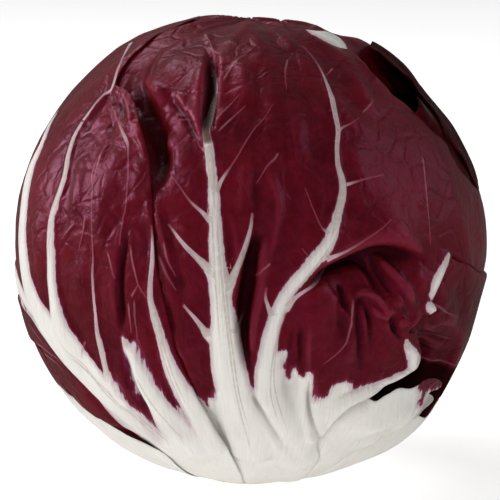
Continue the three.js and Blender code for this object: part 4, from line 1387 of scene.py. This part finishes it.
WHITE = srgb(228, 225, 219)
CREAM = srgb(216, 212, 205)
PINK_WHITE = srgb(196, 176, 180)
LILAC = srgb(168, 138, 150)
FRINGE = srgb(132, 48, 84)
WINE = srgb(96, 12, 18)
WINE_LIGHT = srgb(112, 19, 32)
WINE_DARK = srgb(64, 8, 12)
NET = srgb(78, 22, 34)
VEIN_PINK = srgb(134, 62, 76)
SHADE_BLACK = srgb(22, 6, 7)
CREST_HIGHLIGHT = srgb(132, 40, 58)
WHITE_SHADOW = srgb(138, 126, 120)
RIB_LINE = srgb(168, 152, 138)
DULL = srgb(104, 80, 72)
GLOSS_ON_WHITE = (1.0, 1.0, 1.0, 1.0)
GLOSS_ON_RED = (1.0, 0.15, 0.5, 1.0)
NET_SCALE = 150.0              # meshes of the fine net of veins per metre
FOOT_BORDER = (62.0, 44.0)     # degrees from straight down over which the foot's border widens
CORE_PALE = srgb(236, 231, 214)
CORE_DARK = srgb(214, 204, 176)
CORE_BROWN = srgb(176, 146, 108)
HEART_PALE = srgb(205, 165, 172)
HEART_PINK = srgb(160, 60, 90)


def thin_veins(n, fine):
    """where the thin veins of all layers run, and where they are broad enough to be white"""
    vein, strong = 0.0, 0.0
    for k in range(LAYERS):
        half = n.field(f"half_{k}")
        away = n.math("ABSOLUTE", n.field(f"line_{k}") + fine * 0.05)
        here = (half - away).ramp(-0.1, 0.12) * n.field(f"near_{k}").ramp(0.3, 0.7)
        vein = n.most(vein, here)
        strong = n.most(strong, here * half.ramp(0.2, 0.5))
    return vein, strong


def vein_net(n):
    """distance to the fine net of veins, in meshes"""
    warp = n.node("ShaderNodeTexNoise", {"Vector": n.where, "Scale": 120.0}, "Color")
    bent = n.mix(0.006, n.where, warp, "ADD")
    return n.node("ShaderNodeTexVoronoi", {"Vector": bent, "Scale": NET_SCALE}, "Distance",
                  feature="DISTANCE_TO_EDGE")


def leaf_material(name):
    n = Nodes(name)
    fine, mid, broad = n.noise(900.0, 2.0), n.noise(260.0), n.noise(55.0)
    fibre, streak = n.streaks(1.6, 0.12), n.streaks(0.6, 0.06)
    cavity, painted_shade = n.field("cavity"), n.field("painted_shade")
    # how far inside the white, in mm, with a ragged border
    rib = n.field("rib") + mid * 0.24 + fine * 0.12 + fibre * 0.2
    foot = n.field("white") + streak * 0.9 + fibre * 0.5 + mid * 0.4 + fine * 0.2
    whiteness = n.most(rib.ramp(-0.1, 0.2), foot.ramp(-0.15, 0.3))
    bare = 1.0 - whiteness
    low = n.field("polar").ramp(*FOOT_BORDER)
    fringe = n.most(rib.ramp(-0.6, 0.1) * 0.5, foot.ramp(-1.0, 0.1) * 0.8)
    fringe = n.most(fringe, foot.ramp(-3.2, 0.0) * low)
    vein, strong = thin_veins(n, fine)
    net = vein_net(n)
    # the red blade
    wine = n.mix(broad.ramp(-0.9, 0.9), WINE_DARK, WINE)
    wine = n.mix((mid + fine * 0.5).ramp(-0.6, 1.4) * 0.6, wine, WINE_LIGHT)
    wine = n.mix(fibre.ramp(-0.2, 1.2) * 0.3, wine, WINE_LIGHT)
    wine = n.mix(net.ramp(0.05, 0.0) * 0.45, wine, NET)
    # painted highlight: lighter on crests above the surface round them
    wine = n.mix(cavity.ramp(-0.05, -0.8) * 0.45, wine, CREST_HIGHLIGHT)
    wine = n.mix(fringe * 0.7, wine, FRINGE)
    # the white of the ribs and the foot
    pale = n.mix(fibre.ramp(-1.2, 0.6), CREAM, WHITE)
    # pinker near the white's border: its own pink, and painted shade along the ribs' sides
    pale = n.mix(n.most(rib, foot).ramp(1.6, 0.0), pale, PINK_WHITE)
    pale = n.mix(foot.ramp(5.0, 0.0) * low * 0.55, pale, LILAC)
    pale = n.mix(n.noise(90.0).ramp(-0.2, 1.0) * 0.2, pale, PINK_WHITE)
    # both together, with veins, dull places (a torn end's brown, and painted shade on a rib),
    # painted shade in hollows and painted deep shade
    colour = n.mix(whiteness, wine, pale)
    colour = n.mix(vein * bare * 0.85, colour, n.mix(strong, VEIN_PINK, PINK_WHITE))
    colour = n.mix(vein * whiteness * fine.ramp(-1.4, 0.6, 0.0, 0.6), colour, RIB_LINE)
    # a torn end's brown, and painted shade on the rib beside the top groove
    colour = n.mix(n.field("shade") * whiteness, colour, DULL)
    shadow = n.mix(whiteness, SHADE_BLACK, WHITE_SHADOW)
    # painted shade in hollows
    colour = n.mix(cavity.ramp(0.03, 1.1) * 0.7, colour, shadow)
    # painted deep shade: nearly black, and without gloss
    n.surface(Base_Color=n.mix(painted_shade, colour, SHADE_BLACK),
              Roughness=(mid + whiteness * 0.8).ramp(-1.0, 1.5, 0.28, 0.5), IOR=1.45,
              Specular_IOR_Level=painted_shade.ramp(0.0, 0.8, 0.5, 0.0),
              Specular_Tint=n.mix(whiteness, GLOSS_ON_RED, GLOSS_ON_WHITE),
              Subsurface_Weight=0.1, Subsurface_Radius=(0.003, 0.0012, 0.0012),
              Subsurface_Scale=0.5)
    blade = n.noise(420.0) * 0.22 + net.ramp(0.0, 0.16) * 0.6
    n.bump(fine * 0.2 + fibre * whiteness * 0.2 + bare * blade, 0.6, 0.00035)
    return n.material


def core_material():
    n = Nodes("core_white")
    cells = n.node("ShaderNodeTexVoronoi", {"Vector": n.where, "Scale": 900.0}, "Distance")
    pith = n.noise(220.0)
    tint = n.mix(pith.ramp(-1.0, 1.0), CORE_DARK, CORE_PALE)
    n.surface(Base_Color=n.mix(n.noise(90.0).ramp(0.2, 1.2), tint, CORE_BROWN),
              Roughness=pith.ramp(-1.0, 1.0, 0.55, 0.75))
    n.bump(cells, 0.4, 0.0004)
    return n.material


def heart_material():
    n = Nodes("heart_pink")
    n.surface(Base_Color=n.mix(n.noise(120.0).ramp(-0.8, 0.8), HEART_PALE, HEART_PINK),
              Roughness=n.noise(300.0).ramp(-1.0, 1.0, 0.45, 0.6))
    n.bump(n.noise(500.0), 0.4, 0.0004)
    return n.material


# ---- making the objects ----

CORE_SIDES = 96
CORE_PROFILE = [(0.02, 0.25), (3, 0.2), (6, 0.15), (9, 0.1), (11.5, 0.05), (12.6, 0.02),
                (13.1, 0.25), (13.5, 0.9), (13.2, 3), (12.0, 9), (10.0, 19), (8.0, 30), (6.5, 36),
                (3.9, 38), (0.02, 38.2)]   # radius, height
HEART_RINGS = 39
HEART_SIDES = 64
HEART_RADII = (15.0, 18.0)     # across and upright
HEART_ROOM = 99.0              # where no leaf is near
HEART_GAP = 1.5
HEART_SMOOTH = 5               # places over which the room for it is rounded
HEART_WAVES = [(0.6, 5, 3), (0.3, 9, -4)]   # mm, waves round it and up it


def make_piece(name, mesh, material):
    mesh.polygons.foreach_set("use_smooth", np.ones(len(mesh.polygons), dtype=bool))
    mesh.materials.append(material)
    piece = bpy.data.objects.new(name, mesh)
    bpy.context.scene.collection.objects.link(piece)
    return piece


def make_blade(name, points, faces, fields, material):
    mesh = bpy.data.meshes.new(name)
    mesh.vertices.add(len(points))
    mesh.vertices.foreach_set("co", points.astype(np.float32).ravel())
    mesh.loops.add(faces.size)
    mesh.loops.foreach_set("vertex_index", faces.astype(np.int32).ravel())
    mesh.polygons.add(len(faces))
    starts = np.arange(0, faces.size, faces.shape[1], dtype=np.int32)
    mesh.polygons.foreach_set("loop_start", starts)
    mesh.update(calc_edges=True)
    for key, values in fields.items():
        layer = mesh.attributes.new(key, "FLOAT", "POINT")
        layer.data.foreach_set("value", values.astype(np.float32))
    return make_piece(name, mesh, material)


def make_round(name, points, rings, sides, material):
    """rings of points from the bottom up, closed by fans to the two points that follow them"""
    low, last = rings * sides, (rings - 1) * sides
    faces = []
    for i in range(rings - 1):
        for k in range(sides):
            a, b = i * sides + k, i * sides + (k + 1) % sides
            faces.append((a, b, b + sides, a + sides))
    for k in range(sides):
        j = (k + 1) % sides
        faces += [(j, k, low), (last + k, last + j, low + 1)]
    mesh = bpy.data.meshes.new(name)
    mesh.from_pydata([tuple(p) for p in points / 1000], [], faces)
    return make_piece(name, mesh, material)


def make_core():
    """the cut stump: a flat cut face with a rounded edge, narrowing upwards inside the leaves"""
    points = []
    for radius, height in CORE_PROFILE:
        for k in range(CORE_SIDES):
            a = 2 * math.pi * k / CORE_SIDES
            points.append((radius * math.cos(a), radius * math.sin(a), height))
    points += [(0, 0, CORE_PROFILE[0][1]), (0, 0, CORE_PROFILE[-1][1])]
    return make_round("stump", np.array(points), len(CORE_PROFILE), CORE_SIDES, core_material())


def make_heart(placed):
    """the bud in the middle, as wide as the leaves round it leave room for"""
    tilt = np.linspace(0, math.pi, HEART_RINGS + 2)[1:-1]
    turn = np.arange(HEART_SIDES) * 2 * math.pi / HEART_SIDES
    t, a = np.meshgrid(tilt, turn, indexing="ij")
    d = np.stack([np.sin(t) * np.cos(a), np.sin(t) * np.sin(a), -np.cos(t)], axis=-1)
    egg = 1 / np.hypot(np.sin(t) / HEART_RADII[0], np.cos(t) / HEART_RADII[1])
    room = np.full(t.shape, HEART_ROOM)
    for leaf in placed:
        free, away = leaf.room(d)
        room = np.where(away > -1, np.minimum(room, free), room)
    room = spread(spread(np.tile(room, (1, 3)), HEART_SMOOTH, least), HEART_SMOOTH, mean)
    room = room[:, HEART_SIDES:2 * HEART_SIDES]
    waves = sum(high * np.sin(circling * a + rising * t)
                for high, circling, rising in HEART_WAVES)
    radius = np.minimum(egg + waves * np.sin(t), room - HEART_GAP)
    points = (d * radius[..., None]).reshape(-1, 3)
    ends = [(0, 0, -radius[0].min()), (0, 0, radius[-1].min())]
    points = np.vstack([points, ends]) + np.array([0, 0, CENTRE_HEIGHT])
    return make_round("heart", points, HEART_RINGS, HEART_SIDES, heart_material())


def carry(piece, node):
    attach(piece, "root")
    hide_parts(node)


RIB_LEAVES = ("leaf_right_rib", "leaf_right_base")
SLOTS = {name: leaf_material(name) for name in ("leaf_red", "leaf_rib_white")}
placed = []
for leaf in make_leaves():
    leaf.drape(placed)
    placed.append(leaf)
    slot = "leaf_rib_white" if leaf.name in RIB_LEAVES else "leaf_red"
    blade = make_blade(leaf.name.replace("leaf_", "blade_"), *leaf.mesh(), SLOTS[slot])
    carry(blade, leaf.name)
carry(make_core(), "core_stump")
carry(make_heart(placed), "heart_bud")

# ---- floor, light and view ----

FLOOR_HALF = 3.0               # metres, as all below
FLOOR_GREY = (0.86, 0.86, 0.86, 1.0)
FLOOR_GLOW = 0.58
WORLD_STRENGTH = 0.16
LIGHTS = {                     # place, size, power, and whether the leaves mirror it
    "left": ((-1.9, 0.2, 0.85), 0.9, 21, True),
    "top": ((-0.75, 0.75, 1.65), 0.8, 8, True),
    "right": ((1.9, 0.0, 1.0), 1.4, 6, True),
    "front": ((-0.9, -2.5, 1.7), 3.0, 34, False),
}


def make_floor():
    """a white floor that the leaves don't mirror"""
    half = FLOOR_HALF
    corners = [(-half, -half, 0), (half, -half, 0), (half, half, 0), (-half, half, 0)]
    mesh = bpy.data.meshes.new("floor")
    mesh.from_pydata(corners, [], [(0, 1, 2, 3)])
    n = Nodes("floor")
    n.surface(Base_Color=FLOOR_GREY, Roughness=0.8, Emission_Color=(1, 1, 1, 1),
              Emission_Strength=FLOOR_GLOW)
    floor = make_piece("floor", mesh, n.material)
    floor.visible_glossy = False


def area_light(name, place, size, power, mirrored):
    """a soft square light that looks at the middle of the head"""
    data = bpy.data.lights.new(name, "AREA")
    data.size = size
    data.energy = power
    lamp = bpy.data.objects.new(name, data)
    lamp.location = place
    aim = Vector((0, 0, CENTRE_HEIGHT / 1000)) - Vector(place)
    lamp.rotation_euler = aim.to_track_quat("-Z", "Y").to_euler()
    lamp.visible_glossy = mirrored
    bpy.context.scene.collection.objects.link(lamp)


make_floor()
for name, settings in LIGHTS.items():
    area_light(name, *settings)
world = bpy.data.worlds.new("studio")
world.use_nodes = True
background = world.node_tree.nodes["Background"].inputs
background[0].default_value = (1, 1, 1, 1)
background[1].default_value = WORLD_STRENGTH
bpy.context.scene.world = world
bpy.context.scene.view_settings.view_transform = "Standard"
